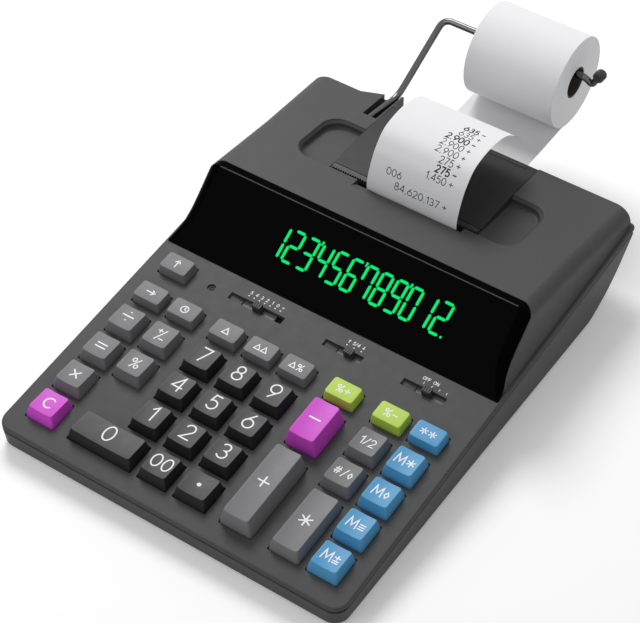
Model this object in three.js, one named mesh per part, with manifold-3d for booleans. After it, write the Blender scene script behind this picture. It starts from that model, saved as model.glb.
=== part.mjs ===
// Desktop printing calculator with a paper roll on a bent wire, in millimetres, +Z up.
// Design frame: X = 0 in the middle of the case, Y = 0 at the front of the front key row, Z = 0 on the desk.
import * as THREE from "three";
import { mergeVertices } from "three/addons/utils/BufferGeometryUtils.js";
import Module from "manifold-3d";

const wasm = await Module();
wasm.setup();

// Fits
const gap = 0.3;
const keyClearance = 0.35;
const overrun = 1;

// Case
const wall = 2.5;
const footHeight = 2;
const deckTiltDegrees = 5.35;
const deckFrontHeight = 16.2;
const caseFront = 12.5;
const caseRearFromPlaten = 64.3;
const frontCornerRadius = 8.5;
const rearCornerRadius = 3;
const deckEdgeRadius = 1.4;
const partingDepth = 3.2;
const lowerDraft = 0.8;
const undercutLength = 42;
const innerCornerRadius = 0.4;
const lipThickness = 1.2;

// Hood
const windowFootStep = 43.2;
const windowSlopeDegrees = 43.2;
const windowLength = 50.1;
const windowThickness = 3.5;
const roofFallDegrees = 6.6;
const hoodInset = 5;
const flareWidth = 2.8;
const flareFade = 3.5;
const hoodSink = 2;
const shoulderRadius = 8;
const shoulderShare = 0.75;
const displayOpeningLength = 126;
const displayOpeningHeight = 27;
const displayOpeningFoot = 11;
const displayOffset = 10;
const displayMargin = 3;
const displayTubeDepth = 7;

// Finger recess, printer well and rear boss
const recessLeft = -73;
const recessRight = 69;
const recessFrontFromPlaten = -6.2;
const recessRearFromPlaten = 35.3;
const recessDepth = 5;
const recessDraft = 1.2;
const recessRadius = 11;
const wellLeft = -50.5;
const wellRight = 45.1;
const wellFrontFromPlaten = -5.6;
const wellFloor = 41;
const slotNotchLeft = -28.7;
const slotNotchRight = 39.5;
const slotNotchDepth = 3.3;
const slotRampLength = 5.5;
const slotRampDepth = 1.5;
const bossLeft = -74;
const bossRight = -50.5;
const bossFrontFromPlaten = 35.6;
const bossRearFromPlaten = 74.8;
const bossFloor = 41.5;

// Keys
const columnPitch = 22.4;
const rowPitch = 22.1;
const keyWidth = 17.9;
const keyDepth = 17.6;
const keyHeight = 7.4;
const keyRearDrop = 1.4;
const keySideTaper = 1.5;
const keyFrontTaper = 2;
const keyRearTaper = 0.4;
const keyDish = 0.9;
const keyRim = 0.4;
const keyCorner = 1.3;
const bigKeyHeight = 10.9;
const bigKeyRearDrop = 0.2;
const bigKeySideTaper = 2.2;
const bigKeyFrontTaper = 1.5;
const bigKeyRearTaper = 0.3;
const keyFlange = 1;
const keyFlangeThickness = 1.4;
const lowKeyWidth = 18.3;
const lowKeyDepth = 12.3;
const lowKeyHeight = 5.5;
const lowKeyRearDrop = 0.3;
const lowKeyTaper = 0.8;
const lowKeyRearTaper = 0.1;
const keyMarginLeft = 10.3;
const keyMarginRight = 10.6;
const digitBlockGap = 5.1;
const plusColumnGap = 6.2;
const totalColumnGap = 10.2;
const functionRowGap = 6.4;
const feedRowStep = 23.6;
const pointWidth = 19.8;
const zeroReach = 22.6;
const plusWidth = 19.3;
const plusReach = 5.2;
const minusGap = 7.2;
const minusShortfall = 0.2;
const totalShortfall = 0.3;

// Switches and reset button
const switchRowStep = 30.7;
const switchSlotDepth = 4.6;
const switchKnobWidth = 5.2;
const switchKnobDepth = 3.9;
const switchKnobHeight = 3.2;
const switchSliderReach = 5;
const switchSliderThickness = 1.4;
const switchRampLength = 5;
const switchRampDepth = 1.6;
const decimalSlotStep = 1.2;
const decimalSlotLength = 26.6;
const decimalKnobRest = 10.5;
const roundingSlotStep = 11.2;
const roundingSlotLength = 15.8;
const roundingKnobRest = 7.9;
const modeSlotStep = 14.3;
const modeSlotLength = 18;
const modeKnobRest = 7.3;
const resetStep = 31.9;
const resetRowStep = 29.6;
const resetCupRadius = 2.5;
const resetCupDepth = 1;
const resetRadius = 1.1;
const resetFlangeRadius = 2.2;
const resetClearance = 0.3;

// Keyboard board and dome mat
const boardStandoff = 1.28;
const matThickness = 0.6;
const boardThickness = 1.6;
const boardMargin = 8;
const boardFront = -6;
const boardRearStep = 35.7;
const domeRadius = 3.5;
const domeTopRadius = 1.8;
const domeSides = 5;

// Paper
const paperCentre = 7;
const paperWidth = 57;
const webThickness = 0.4;
const rollShift = 1.5;
const rollRadius = 27.5;
const rollHoleRadius = 8.5;
const rollYFromPlaten = 115.4;
const rollZ = 73.5;

// Printer
const platenSetback = 42.7;
const platenZ = 39.7;
const platenRadius = 7.5;
const platenLength = 60;
const shaftRadius = 2;
const shaftClearance = 0.3;
const framePlate = 1.5;
const frameBaseZ = 16.7;
const frameFrontFromPlaten = -17.5;
const frameRearFromPlaten = 24;
const frameTop = 44.7;
const gearBay = 8;
const gearWidth = 5;
const gearModule = 0.6;
const gearTeeth = 30;
const pinionTeeth = 12;
const gearBacklash = 0.3;
const motorRadius = 10;
const motorLength = 14;
const motorBossRadius = 3.2;
const headThickness = 3.2;
const headFoot = 32.7;
const headTop = 45.7;
const coverFrontFromPlaten = -1.4;
const coverArcFrontFromPlaten = 3.2;
const coverRearFromPlaten = 63.9;
const coverFrontZ = 53.6;
const coverRearZ = 50.3;
const coverCrown = 2;
const coverThickness = 2;
const coverSkirt = 6;
const coverRidge = 0.6;
const coverRidgeWidth = 2;
const ledgeZ = 52.7;
const tearBarThickness = 1;
const toothPitch = 1.6;
const toothHeight = 1.4;

// Wire holder
const wireRadius = 2;
const wireX = -57;
const wireKneeX = -54.3;
const wireTopX = -50.2;
const wireSocketYFromPlaten = 39.9;
const wireSocketZ = 50.1;
const wireKneeYFromPlaten = 74.3;
const wireKneeZ = 48.5;
const wireEndX = 43;
const wireDipX = 47;
const wireDipDrop = 3;
const wireTailX = 51.8;
const wireTailRise = 6.5;
const wireBendRadius = 6;
const wireSlotLeft = -60.6;
const wireSlotRight = -51.7;
const wireSlotFrontFromPlaten = 47.1;
const capRadius = 3.3;
const capLength = 6;

// Feet and inlet
const footStripMargin = 32;
const footStripWidth = 12;
const footInset = 14;
const footSink = 1;
const inletX = -80;
const inletZ = 29;
const inletRadius = 3.4;
const postRadius = 3.5;

const degrees = Math.PI / 180;
const deckTilt = deckTiltDegrees * degrees;
const windowSlope = windowSlopeDegrees * degrees;
const roofFall = roofFallDegrees * degrees;
const deckZ = (y) => deckFrontHeight + y * Math.tan(deckTilt);
const functionRow = 3 * rowPitch + keyDepth + functionRowGap;
const feedRow = functionRow + feedRowStep;
const switchRow = functionRow + switchRowStep;
const resetRow = functionRow + resetRowStep;
const boardRear = functionRow + boardRearStep;
const windowFoot = functionRow + windowFootStep;
const plusDepth = 2 * rowPitch + plusReach;
const minusRow = plusDepth + minusGap;
const minusDepth = 3 * rowPitch + keyDepth - minusRow - minusShortfall;
const totalDepth = rowPitch + keyDepth - totalShortfall;
const zeroWidth = keyWidth + zeroReach;
const keyFieldWidth = 6 * columnPitch + digitBlockGap + plusColumnGap + plusWidth + totalColumnGap + keyWidth;
const caseHalfWidth = (keyMarginLeft + keyFieldWidth + keyMarginRight) / 2;
const leftBlock = keyMarginLeft - caseHalfWidth;
const digitBlock = leftBlock + 2 * columnPitch + digitBlockGap;
const plusColumn = digitBlock + 3 * columnPitch + plusColumnGap;
const memoryColumn = plusColumn + plusWidth + totalColumnGap + columnPitch;
const hoodHalfWidth = caseHalfWidth - hoodInset;
const boardHalfWidth = caseHalfWidth - boardMargin;
const windowFootZ = deckZ(windowFoot);
const roofFront = windowFoot + windowLength * Math.cos(windowSlope);
const roofFrontZ = windowFootZ + windowLength * Math.sin(windowSlope);
const roofZ = (y) => roofFrontZ - (y - roofFront) * Math.tan(roofFall);
const platenY = roofFront + platenSetback;
const caseRear = platenY + caseRearFromPlaten;
const recessFront = platenY + recessFrontFromPlaten;
const recessRear = platenY + recessRearFromPlaten;
const wellFront = platenY + wellFrontFromPlaten;
const bossFront = platenY + bossFrontFromPlaten;
const bossRear = platenY + bossRearFromPlaten;
const frameFront = platenY + frameFrontFromPlaten;
const frameRear = platenY + frameRearFromPlaten;
const coverFront = platenY + coverFrontFromPlaten;
const coverArcFront = platenY + coverArcFrontFromPlaten;
const coverRear = platenY + coverRearFromPlaten;
const rollY = platenY + rollYFromPlaten;
const wireSocketY = platenY + wireSocketYFromPlaten;
const wireSlotFront = platenY + wireSlotFrontFromPlaten;
const wireKneeY = platenY + wireKneeYFromPlaten;
const keyTopGap = wall + gap;
const boardRoom = deckFrontHeight + boardFront * Math.sin(deckTilt) - footHeight - wall;
const boardDepth = (boardRoom - boardStandoff) / Math.cos(deckTilt);
const matDepth = boardDepth - boardThickness - gap - matThickness;
const rollHalf = paperWidth / 2;
const rollCentre = paperCentre + rollShift;
const wireZ = rollZ + rollHoleRadius - gap - wireRadius;

// Geometry helpers

function newell(ring) {
  const normal = new THREE.Vector3();
  ring.forEach((a, i) => {
    const b = ring[(i + 1) % ring.length];
    normal.x += (a[1] - b[1]) * (a[2] + b[2]);
    normal.y += (a[2] - b[2]) * (a[0] + b[0]);
    normal.z += (a[0] - b[0]) * (a[1] + b[1]);
  });
  return normal;
}

function centreOf(ring) {
  const sum = new THREE.Vector3();
  ring.forEach((p) => sum.add(new THREE.Vector3(...p)));
  return sum.divideScalar(ring.length);
}

// Triangles over a planar ring, turned so that they face the given way.
function capTriangles(ring, facing) {
  const normal = newell(ring);
  const sizes = [Math.abs(normal.x), Math.abs(normal.y), Math.abs(normal.z)];
  const dropped = sizes.indexOf(Math.max(...sizes));
  const kept = [0, 1, 2].filter((axis) => axis !== dropped);
  const flat = ring.map((p) => new THREE.Vector2(p[kept[0]], p[kept[1]]));
  const points = ring.map((p) => new THREE.Vector3(...p));
  return THREE.ShapeUtils.triangulateShape(flat, []).map(([a, b, c]) => {
    const turn = new THREE.Vector3().crossVectors(
      points[b].clone().sub(points[a]),
      points[c].clone().sub(points[a]),
    );
    return turn.dot(facing) > 0 ? [a, b, c] : [a, c, b];
  });
}

// A closed solid through rings that all have the same number of points.
function loft(rings, topCap = null) {
  const count = rings[0].length;
  const last = rings.length - 1;
  const way = centreOf(rings[1]).sub(centreOf(rings[0]));
  const forward = newell(rings[0]).dot(way) > 0;
  const index = [];
  for (let k = 0; k < last; k += 1) {
    for (let i = 0; i < count; i += 1) {
      const j = (i + 1) % count;
      const quad = [k * count + i, k * count + j, (k + 1) * count + j, (k + 1) * count + i];
      if (!forward) quad.reverse();
      index.push(quad[0], quad[1], quad[2], quad[0], quad[2], quad[3]);
    }
  }
  capTriangles(rings[0], way.clone().negate()).forEach((t) => index.push(...t));
  const end = topCap ?? capTriangles(rings[last], centreOf(rings[last]).sub(centreOf(rings[last - 1])));
  end.forEach((t) => index.push(...t.map((i) => i + last * count)));
  const geometry = new THREE.BufferGeometry();
  geometry.setAttribute("position", new THREE.Float32BufferAttribute(rings.flat(2), 3));
  geometry.setIndex(index);
  return geometry;
}

// Points of a rectangle with rounded corners, counter-clockwise from its front left corner.
function roundRect(x0, x1, y0, y1, radii, segments) {
  const [frontRadius, rearRadius] = Array.isArray(radii) ? radii : [radii, radii];
  const corners = [
    [x0 + frontRadius, y0 + frontRadius, frontRadius, Math.PI],
    [x1 - frontRadius, y0 + frontRadius, frontRadius, 1.5 * Math.PI],
    [x1 - rearRadius, y1 - rearRadius, rearRadius, 0],
    [x0 + rearRadius, y1 - rearRadius, rearRadius, 0.5 * Math.PI],
  ];
  return corners.flatMap(([cx, cy, r, start]) =>
    Array.from({ length: segments + 1 }, (_, i) => {
      const angle = start + (0.5 * Math.PI * i) / segments;
      return [cx + r * Math.cos(angle), cy + r * Math.sin(angle)];
    }),
  );
}

const heightAt = (height, y) => (typeof height === "function" ? height(y) : height);
const atHeight = (ring, height) => ring.map(([x, y]) => [x, y, heightAt(height, y)]);
const prism = (ring, low, high) => loft([atHeight(ring, low), atHeight(ring, high)]);
const prismX = (profile, x0, x1) => loft([x0, x1].map((x) => profile.map(([y, z]) => [x, y, z])));

function block(x0, x1, y0, y1, z0, z1) {
  const box = new THREE.BoxGeometry(x1 - x0, y1 - y0, z1 - z0);
  return box.translate((x0 + x1) / 2, (y0 + y1) / 2, (z0 + z1) / 2);
}

function discX(x0, x1, y, z, radius, segments) {
  const disc = new THREE.CylinderGeometry(radius, radius, x1 - x0, segments);
  return disc.rotateZ(Math.PI / 2).translate((x0 + x1) / 2, y, z);
}

function solid(geometry) {
  const bare = geometry.clone();
  bare.deleteAttribute("normal");
  bare.deleteAttribute("uv");
  const merged = mergeVertices(bare);
  return new wasm.Manifold(
    new wasm.Mesh({
      numProp: 3,
      vertProperties: merged.attributes.position.array,
      triVerts: new Uint32Array(merged.index.array),
    }),
  );
}

function surface(manifold) {
  const made = manifold.getMesh();
  const geometry = new THREE.BufferGeometry();
  geometry.setAttribute("position", new THREE.Float32BufferAttribute(made.vertProperties, 3));
  geometry.setIndex(Array.from(made.triVerts));
  return geometry;
}

const joined = (geometries) => geometries.map(solid).reduce((sum, next) => sum.add(next));
const cutAll = (body, geometries) => geometries.map(solid).reduce((sum, next) => sum.subtract(next), body);

// From the deck's own frame, whose Z = 0 is the deck's surface, to the design frame.
const deckMatrix = new THREE.Matrix4()
  .makeTranslation(0, 0, deckFrontHeight)
  .multiply(new THREE.Matrix4().makeRotationX(deckTilt));
const onDeck = (geometry) => geometry.applyMatrix4(deckMatrix);

// Materials
const paint = (color, roughness, metalness = 0) =>
  new THREE.MeshStandardMaterial({ color, roughness, metalness });
const finishes = {
  body: () => paint(0x4b4b4b, 0.55),
  lower: () => paint(0x3c3c3c, 0.6),
  window: () => paint(0x050505, 0.08),
  digit: () => paint(0x2b2b2b, 0.5),
  function: () => paint(0x7d7d7d, 0.5),
  large: () => paint(0x8c8c8c, 0.5),
  magenta: () => paint(0xc456c4, 0.45),
  green: () => paint(0xb4d250, 0.45),
  blue: () => paint(0x4f93bd, 0.45),
  knob: () => paint(0x202020, 0.5),
  paper: () => paint(0xf2f2f2, 0.9),
  chrome: () => paint(0xc8c8c8, 0.15, 1),
  steel: () => paint(0x9a9c9e, 0.35, 1),
  rubber: () => paint(0x1c1c1c, 0.85),
  board: () => paint(0x2e6b3c, 0.6),
  glass: () => paint(0x1d2a26, 0.1),
};

const calculator = new THREE.Group();
const deck = new THREE.Group();
deck.position.z = deckFrontHeight;
deck.rotation.x = deckTilt;
calculator.add(deck);

function place(name, geometry, finish, parent = calculator) {
  const flat = geometry.index ? geometry.toNonIndexed() : geometry;
  flat.computeVertexNormals();
  const mesh = new THREE.Mesh(flat, finishes[finish]());
  mesh.name = name;
  parent.add(mesh);
  return mesh;
}

// Keys: the tall ones have a dished top, the low ones a flat one
const row = (n) => n * rowPitch;
const digitColumn = (n) => digitBlock + n * columnPitch;
const signColumn = leftBlock + columnPitch;
const totalColumn = memoryColumn - columnPitch;
const taxColumn = plusColumn + (plusWidth - lowKeyWidth) / 2;
const tallShape = {
  height: keyHeight, drop: keyRearDrop, side: keySideTaper, front: keyFrontTaper, rear: keyRearTaper,
  dish: keyDish,
};
const bigShape = {
  height: bigKeyHeight, drop: bigKeyRearDrop, side: bigKeySideTaper, front: bigKeyFrontTaper,
  rear: bigKeyRearTaper, dish: keyDish,
};
const lowShape = {
  height: lowKeyHeight, drop: lowKeyRearDrop, side: lowKeyTaper, front: lowKeyTaper, rear: lowKeyRearTaper,
  dish: 0,
};
const tall = (name, x, y, finish, width = keyWidth, depth = keyDepth) => ({
  name, x, y, width, depth, finish, shape: tallShape,
});
const big = (name, y, depth, finish) => ({
  name, x: plusColumn, y, width: plusWidth, depth, finish, shape: bigShape,
});
const low = (name, x, y, finish) => ({
  name, x, y, width: lowKeyWidth, depth: lowKeyDepth, finish, shape: lowShape,
});
const digits = [1, 2, 3, 4, 5, 6, 7, 8, 9].map((n) =>
  tall(`key_${n}`, digitColumn((n - 1) % 3), row(1 + Math.floor((n - 1) / 3)), "digit"),
);
const keys = [
  tall("key_0", digitColumn(0) + keyWidth - zeroWidth, row(0), "digit", zeroWidth),
  tall("key_double_zero", digitColumn(1), row(0), "digit"),
  tall("key_point", digitColumn(2), row(0), "digit", pointWidth),
  ...digits,
  big("key_plus", row(0), plusDepth, "large"),
  big("key_minus", minusRow, minusDepth, "magenta"),
  tall("key_total", totalColumn, row(0), "large", keyWidth, totalDepth),
  tall("key_subtotal", totalColumn, row(2), "function"),
  tall("key_item_average", totalColumn, row(3), "function"),
  tall("key_memory_plus_minus", memoryColumn, row(0), "blue"),
  tall("key_memory_equals", memoryColumn, row(1), "blue"),
  tall("key_memory_subtotal", memoryColumn, row(2), "blue"),
  tall("key_memory_total", memoryColumn, row(3), "blue"),
  tall("key_clear", leftBlock, row(0), "magenta"),
  tall("key_multiply", leftBlock, row(1), "function"),
  tall("key_equals", leftBlock, row(2), "function"),
  tall("key_divide", leftBlock, row(3), "function"),
  tall("key_percent", signColumn, row(2), "function"),
  tall("key_sign", signColumn, row(3), "function"),
  low("key_shift", leftBlock, functionRow, "function"),
  low("key_time", signColumn, functionRow, "function"),
  low("key_feed", leftBlock, feedRow, "function"),
  low("key_cost", digitColumn(0), functionRow, "function"),
  low("key_sell", digitColumn(1), functionRow, "function"),
  low("key_margin", digitColumn(2), functionRow, "function"),
  low("key_tax_plus", taxColumn, functionRow, "green"),
  low("key_tax_minus", totalColumn, functionRow, "green"),
  low("key_grand_total", memoryColumn, functionRow, "blue"),
];

// One key cap in the deck's frame: flange, straight foot, drafted sides and a top dished like a trough.
function keyGeometry({ x, y, width, depth, shape }) {
  const { height, drop, side, front, rear, dish } = shape;
  const middle = x + width / 2;
  const cornerSegments = dish > 0 ? 2 : 1;
  const sagShares = dish > 0 ? [-0.4, 0.4] : [];
  const ring = (grow, rise, sag = 0, inset = [0, 0, 0]) => {
    const x0 = x - grow + inset[0];
    const x1 = x + width + grow - inset[0];
    const y0 = y - grow + inset[1];
    const y1 = y + depth + grow - inset[2];
    const corner = keyCorner + Math.max(grow, 0);
    const points = roundRect(x0, x1, y0, y1, corner, cornerSegments);
    const perCorner = cornerSegments + 1;
    const frontMiddle = sagShares.map((s) => [middle + (s * width) / 2, y0]);
    const rearMiddle = sagShares.map((s) => [middle - (s * width) / 2, y1]);
    const all = [
      ...points.slice(0, perCorner), ...frontMiddle, ...points.slice(perCorner, 3 * perCorner),
      ...rearMiddle, ...points.slice(3 * perCorner),
    ];
    return all.map(([px, py]) => {
      const across = (px - middle) / (width / 2);
      const back = (py - y) / depth;
      return [px, py, rise(back) - sag * (1 - across * across)];
    });
  };
  const flangeTop = -keyTopGap;
  const top = (back) => height - drop * back;
  const shoulder = (back) => top(back) - keyRim;
  const rimInset = [side + keyRim, front + keyRim, rear + keyRim];
  const rings = [
    ring(keyFlange, () => flangeTop - keyFlangeThickness),
    ring(keyFlange, () => flangeTop),
    ring(0, () => flangeTop),
    ring(0, () => 0),
    ring(0, shoulder, dish, [side, front, rear]),
    ring(0, top, dish, rimInset),
  ];
  // The top is closed by strips that run front to back, so that the trough stays smooth.
  const count = rings[0].length;
  const columns = count / 2;
  const frontAt = (i) => i;
  const rearAt = (i) => count - 1 - i;
  const cap = [];
  for (let i = 0; i < columns - 1; i += 1) {
    cap.push([frontAt(i), frontAt(i + 1), rearAt(i + 1)]);
    cap.push([frontAt(i), rearAt(i + 1), rearAt(i)]);
  }
  return loft(rings, cap);
}

keys.forEach((key) => place(key.name, keyGeometry(key), key.finish, deck));

// Slide switches and reset button, in the deck's frame
const decimalLeft = digitBlock + decimalSlotStep;
const roundingLeft = plusColumn - roundingSlotStep;
const modeLeft = memoryColumn - modeSlotStep;
const switches = [
  { name: "decimal_switch_knob", left: decimalLeft, length: decimalSlotLength, rest: decimalKnobRest },
  { name: "rounding_switch_knob", left: roundingLeft, length: roundingSlotLength, rest: roundingKnobRest },
  { name: "mode_switch_knob", left: modeLeft, length: modeSlotLength, rest: modeKnobRest },
];
const resetColumn = leftBlock + resetStep;
for (const { name, left, rest } of switches) {
  const x = left + rest;
  const half = switchKnobWidth / 2;
  const deep = switchKnobDepth / 2;
  const stem = block(
    x - half, x + half, switchRow - deep, switchRow + deep, -keyTopGap - gap, switchKnobHeight,
  );
  const slider = block(
    x - half - switchSliderReach, x + half + switchSliderReach,
    switchRow - switchSlotDepth, switchRow + switchSlotDepth, -keyTopGap - switchSliderThickness, -keyTopGap,
  );
  place(name, surface(joined([stem, slider])), "knob", deck);
}
const resetSegments = 12;
const resetProfile = [
  [0, -keyTopGap - keyFlangeThickness], [resetFlangeRadius, -keyTopGap - keyFlangeThickness],
  [resetFlangeRadius, -keyTopGap], [resetRadius, -keyTopGap], [resetRadius, -resetCupDepth],
  [0, -resetCupDepth],
];
const resetPoints = resetProfile.map(([r, z]) => new THREE.Vector2(r, z));
const resetButton = new THREE.LatheGeometry(resetPoints, resetSegments)
  .rotateX(Math.PI / 2)
  .translate(resetColumn, resetRow, 0);
place("reset_button", surface(solid(resetButton)), "knob", deck);

// Case shells
const caseSegments = 4;
function caseRing(inset, height) {
  const radii = [frontCornerRadius - inset, Math.max(rearCornerRadius - inset, gap)];
  const half = caseHalfWidth - inset;
  return atHeight(roundRect(-half, half, inset - caseFront, caseRear - inset, radii, caseSegments), height);
}
const aboveDeck = (h) => (y) => deckZ(y) + h;
const slabReachShare = 1.2;
const edgeShares = [[0, 1], [0.08, 0.62], [0.29, 0.29], [0.62, 0.08], [1, 0]];

function deckBody() {
  const edge = edgeShares.map(([inShare, downShare]) =>
    caseRing(deckEdgeRadius * inShare, aboveDeck(-deckEdgeRadius * downShare)),
  );
  return loft([caseRing(0, aboveDeck(-partingDepth)), ...edge]);
}

// Height of the hood's top along Y, moved inwards from its front and from its roof.
function hoodTop(y, frontInward, inward) {
  const front = windowFootZ + (y - windowFoot) * Math.tan(windowSlope) - frontInward / Math.cos(windowSlope);
  const roof = roofZ(y) - inward / Math.cos(roofFall);
  return Math.min(front, roof);
}
const cornerInset = (y) => {
  const along = Math.min(y - (caseRear - rearCornerRadius), rearCornerRadius);
  return along <= 0 ? 0 : rearCornerRadius - Math.sqrt(rearCornerRadius ** 2 - along ** 2);
};
const flankShares = [0, 0.12, 0.3, 0.6, 1];
const shoulderSegments = 4;

// One closed section of the hood across X at a place along Y.
function hoodSection(y, frontInward, inward, sink) {
  const top = hoodTop(y, frontInward, inward);
  const foot = deckZ(y) - sink;
  const radius = Math.min(shoulderRadius, (top - foot) * shoulderShare);
  const halfAt = (z) => {
    const flare = flareWidth * Math.exp(-Math.max(z - deckZ(y), -hoodSink) / flareFade);
    return Math.min(hoodHalfWidth + flare, caseHalfWidth) - inward - cornerInset(y);
  };
  const side = flankShares.map((share) => {
    const z = foot + (top - radius - foot) * share;
    return [halfAt(z), z];
  });
  const shoulderX = halfAt(top - radius) - radius;
  for (let i = 1; i <= shoulderSegments; i += 1) {
    const angle = (0.5 * Math.PI * i) / shoulderSegments;
    side.push([shoulderX + radius * Math.cos(angle), top - radius + radius * Math.sin(angle)]);
  }
  const right = side.map(([x, z]) => [x, y, z]);
  const left = side.map(([x, z]) => [-x, y, z]).reverse();
  return [...right, ...left];
}

function hoodBody(frontInward, inward, sink) {
  const lift = inward > 0 ? wall : 0;
  const slope = Math.tan(windowSlope);
  const offset = frontInward / Math.cos(windowSlope) - lift;
  const start = windowFoot + offset / (slope - Math.tan(deckTilt));
  const roofDrop = frontInward / Math.cos(windowSlope) - inward / Math.cos(roofFall);
  const crest = roofFront + roofDrop / (slope + Math.tan(roofFall));
  const rise = crest - start;
  const frontSteps = [0, 0.15, 0.35, 0.6, 0.85, 1].map((share) => start + rise * share);
  const end = caseRear - inward;
  const cornerStart = caseRear - rearCornerRadius;
  const rearSteps = Array.from({ length: caseSegments }, (_, i) =>
    cornerStart + rearCornerRadius * Math.sin((0.5 * Math.PI * i) / caseSegments),
  );
  const between = (crest + cornerStart) / 2;
  const places = [...frontSteps, between, ...rearSteps.filter((y) => y < end), end];
  return loft(places.map((y) => hoodSection(y, frontInward, inward, sink)));
}

const windowNormal = [-Math.sin(windowSlope), Math.cos(windowSlope)];
const windowAlong = [Math.cos(windowSlope), Math.sin(windowSlope)];
// A point of the side view from its distance up the window and its depth behind it.
const windowPoint = (up, deep) => [
  windowFoot + windowAlong[0] * up - windowNormal[0] * deep,
  windowFootZ + windowAlong[1] * up - windowNormal[1] * deep,
];
// The side view of a slab behind the window, from one depth to another, cut off level with the deck.
function windowSlab(nearDepth, farDepth, footLift) {
  const slope = Math.tan(windowSlope - deckTilt);
  const foot = (deep) => (footLift / Math.cos(windowSlope - deckTilt) + deep) / slope;
  const high = windowLength * slabReachShare;
  return [
    windowPoint(foot(nearDepth), nearDepth), windowPoint(foot(farDepth), farDepth),
    windowPoint(high, farDepth), windowPoint(high, nearDepth),
  ];
}

function upperCase() {
  const outer = solid(deckBody()).add(solid(hoodBody(0, 0, hoodSink)));
  const wide = caseHalfWidth + overrun;
  const pocket = prismX(windowSlab(-windowLength, windowThickness + gap, 0), -wide, wide);
  const seated = outer.subtract(solid(pocket));
  const inner = [
    loft([
      caseRing(wall, aboveDeck(-partingDepth - overrun)),
      caseRing(wall, aboveDeck(-wall - innerCornerRadius)),
      caseRing(wall + innerCornerRadius, aboveDeck(-wall)),
    ]),
    hoodBody(windowThickness + gap + wall, wall, partingDepth + overrun),
  ];
  let shell = seated.subtract(joined(inner));
  // Floor of the finger recess, walls of the printer well and the boss that holds the wire
  const recess = (grow, lowH, highH, draft) => {
    const shape = (inset) => roundRect(
      recessLeft - grow + inset, recessRight + grow - inset, recessFront - grow + inset,
      recessRear + grow - inset, recessRadius, caseSegments,
    );
    return loft([
      atHeight(shape(draft), (y) => roofZ(y) + lowH),
      atHeight(shape(0), (y) => roofZ(y) + highH),
    ]);
  };
  const underRoof = (y) => roofZ(y) - wall / 2;
  const wellRear = caseRear - gap;
  const leftWall = roundRect(wellLeft - wall, wellLeft, recessRear, wellRear, gap, 1);
  const rightWall = roundRect(wellRight, wellRight + wall, recessFront, wellRear, gap, 1);
  const boss = [
    [bossLeft, bossFront], [bossRight, bossFront], [bossRight, bossRear], [bossLeft, caseRear - gap],
  ];
  shell = shell.add(
    joined([
      recess(wall, -recessDepth - wall, -wall / 2, 0),
      prism(leftWall, wellFloor, underRoof),
      prism(rightWall, wellFloor, underRoof),
      prism(boss, bossFloor, roofZ),
    ]),
  );
  const high = roofFrontZ + windowLength;
  const far = caseRear + windowLength;
  const socket = [
    [wireSlotFront, high], [wireSlotFront, wireSocketZ - wireRadius - gap * 2],
    [wireKneeY, wireKneeZ - wireRadius - gap * 2], [far, wireKneeZ - wireRadius - gap * 2], [far, high],
  ];
  const bore = new THREE.CylinderGeometry(
    wireRadius + gap, wireRadius + gap, wireSlotFront - wireSocketY + gap + overrun, 12,
  ).translate(wireX, (wireSlotFront + overrun + wireSocketY - gap) / 2, wireSocketZ);
  const opening = prismX(
    [
      windowPoint(displayOpeningFoot, 0), windowPoint(displayOpeningFoot, windowThickness * 3),
      windowPoint(displayOpeningFoot + displayOpeningHeight, windowThickness * 3),
      windowPoint(displayOpeningFoot + displayOpeningHeight, 0),
    ],
    displayOffset - displayOpeningLength / 2, displayOffset + displayOpeningLength / 2,
  );
  const wellCut = block(wellLeft, wellRight, wellFront, far, wellFloor, high);
  const notchFront = wellFront - slotNotchDepth;
  const notchFoot = roofZ(wellFront) - recessDepth - wall - overrun;
  const notch = block(slotNotchLeft, slotNotchRight, notchFront, wellFront + overrun, notchFoot, high);
  const rampFront = notchFront - slotRampLength;
  const slotRamp = prismX(
    [
      [rampFront, roofZ(rampFront)], [notchFront + gap, roofZ(notchFront) - slotRampDepth],
      [notchFront + gap, high], [rampFront, high],
    ],
    slotNotchLeft, slotNotchRight,
  );
  shell = cutAll(shell, [
    recess(0, -recessDepth, overrun, recessDraft), wellCut, notch, slotRamp,
    prismX(socket, wireSlotLeft, wireSlotRight), bore, opening,
  ]);
  const holes = keys.map(({ x, y, width, depth }) => {
    const c = keyClearance;
    return block(x - c, x + width + c, y - c, y + depth + c, -wall - overrun, overrun);
  });
  for (const { left, length } of switches) {
    const deep = switchSlotDepth / 2;
    holes.push(block(left, left + length, switchRow - deep, switchRow + deep, -wall - overrun, overrun));
  }
  const ramp = [
    [decimalLeft - switchRampLength, 0], [decimalLeft - switchRampLength, overrun],
    [decimalLeft + gap, overrun], [decimalLeft + gap, -switchRampDepth],
  ];
  const deep = switchSlotDepth / 2;
  holes.push(loft([switchRow - deep, switchRow + deep].map((y) => ramp.map(([x, z]) => [x, y, z]))));
  const cup = (radius, z0, z1) => new THREE.CylinderGeometry(radius, radius, z1 - z0, resetSegments)
    .rotateX(Math.PI / 2).translate(resetColumn, resetRow, (z0 + z1) / 2);
  holes.push(cup(resetCupRadius, -resetCupDepth, overrun));
  holes.push(cup(resetRadius + resetClearance, -wall - overrun, overrun));
  return cutAll(shell, holes.map(onDeck));
}
place("upper_case", surface(upperCase()), "body");

// The window panel is the hood's own front slice, so its edges follow the flared sides.
const panelFront = solid(prismX(windowSlab(0, windowThickness, gap), -caseHalfWidth, caseHalfWidth));
const panel = solid(hoodBody(0, 0, hoodSink)).intersect(panelFront);
place("display_window", surface(panel), "window");

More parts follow.
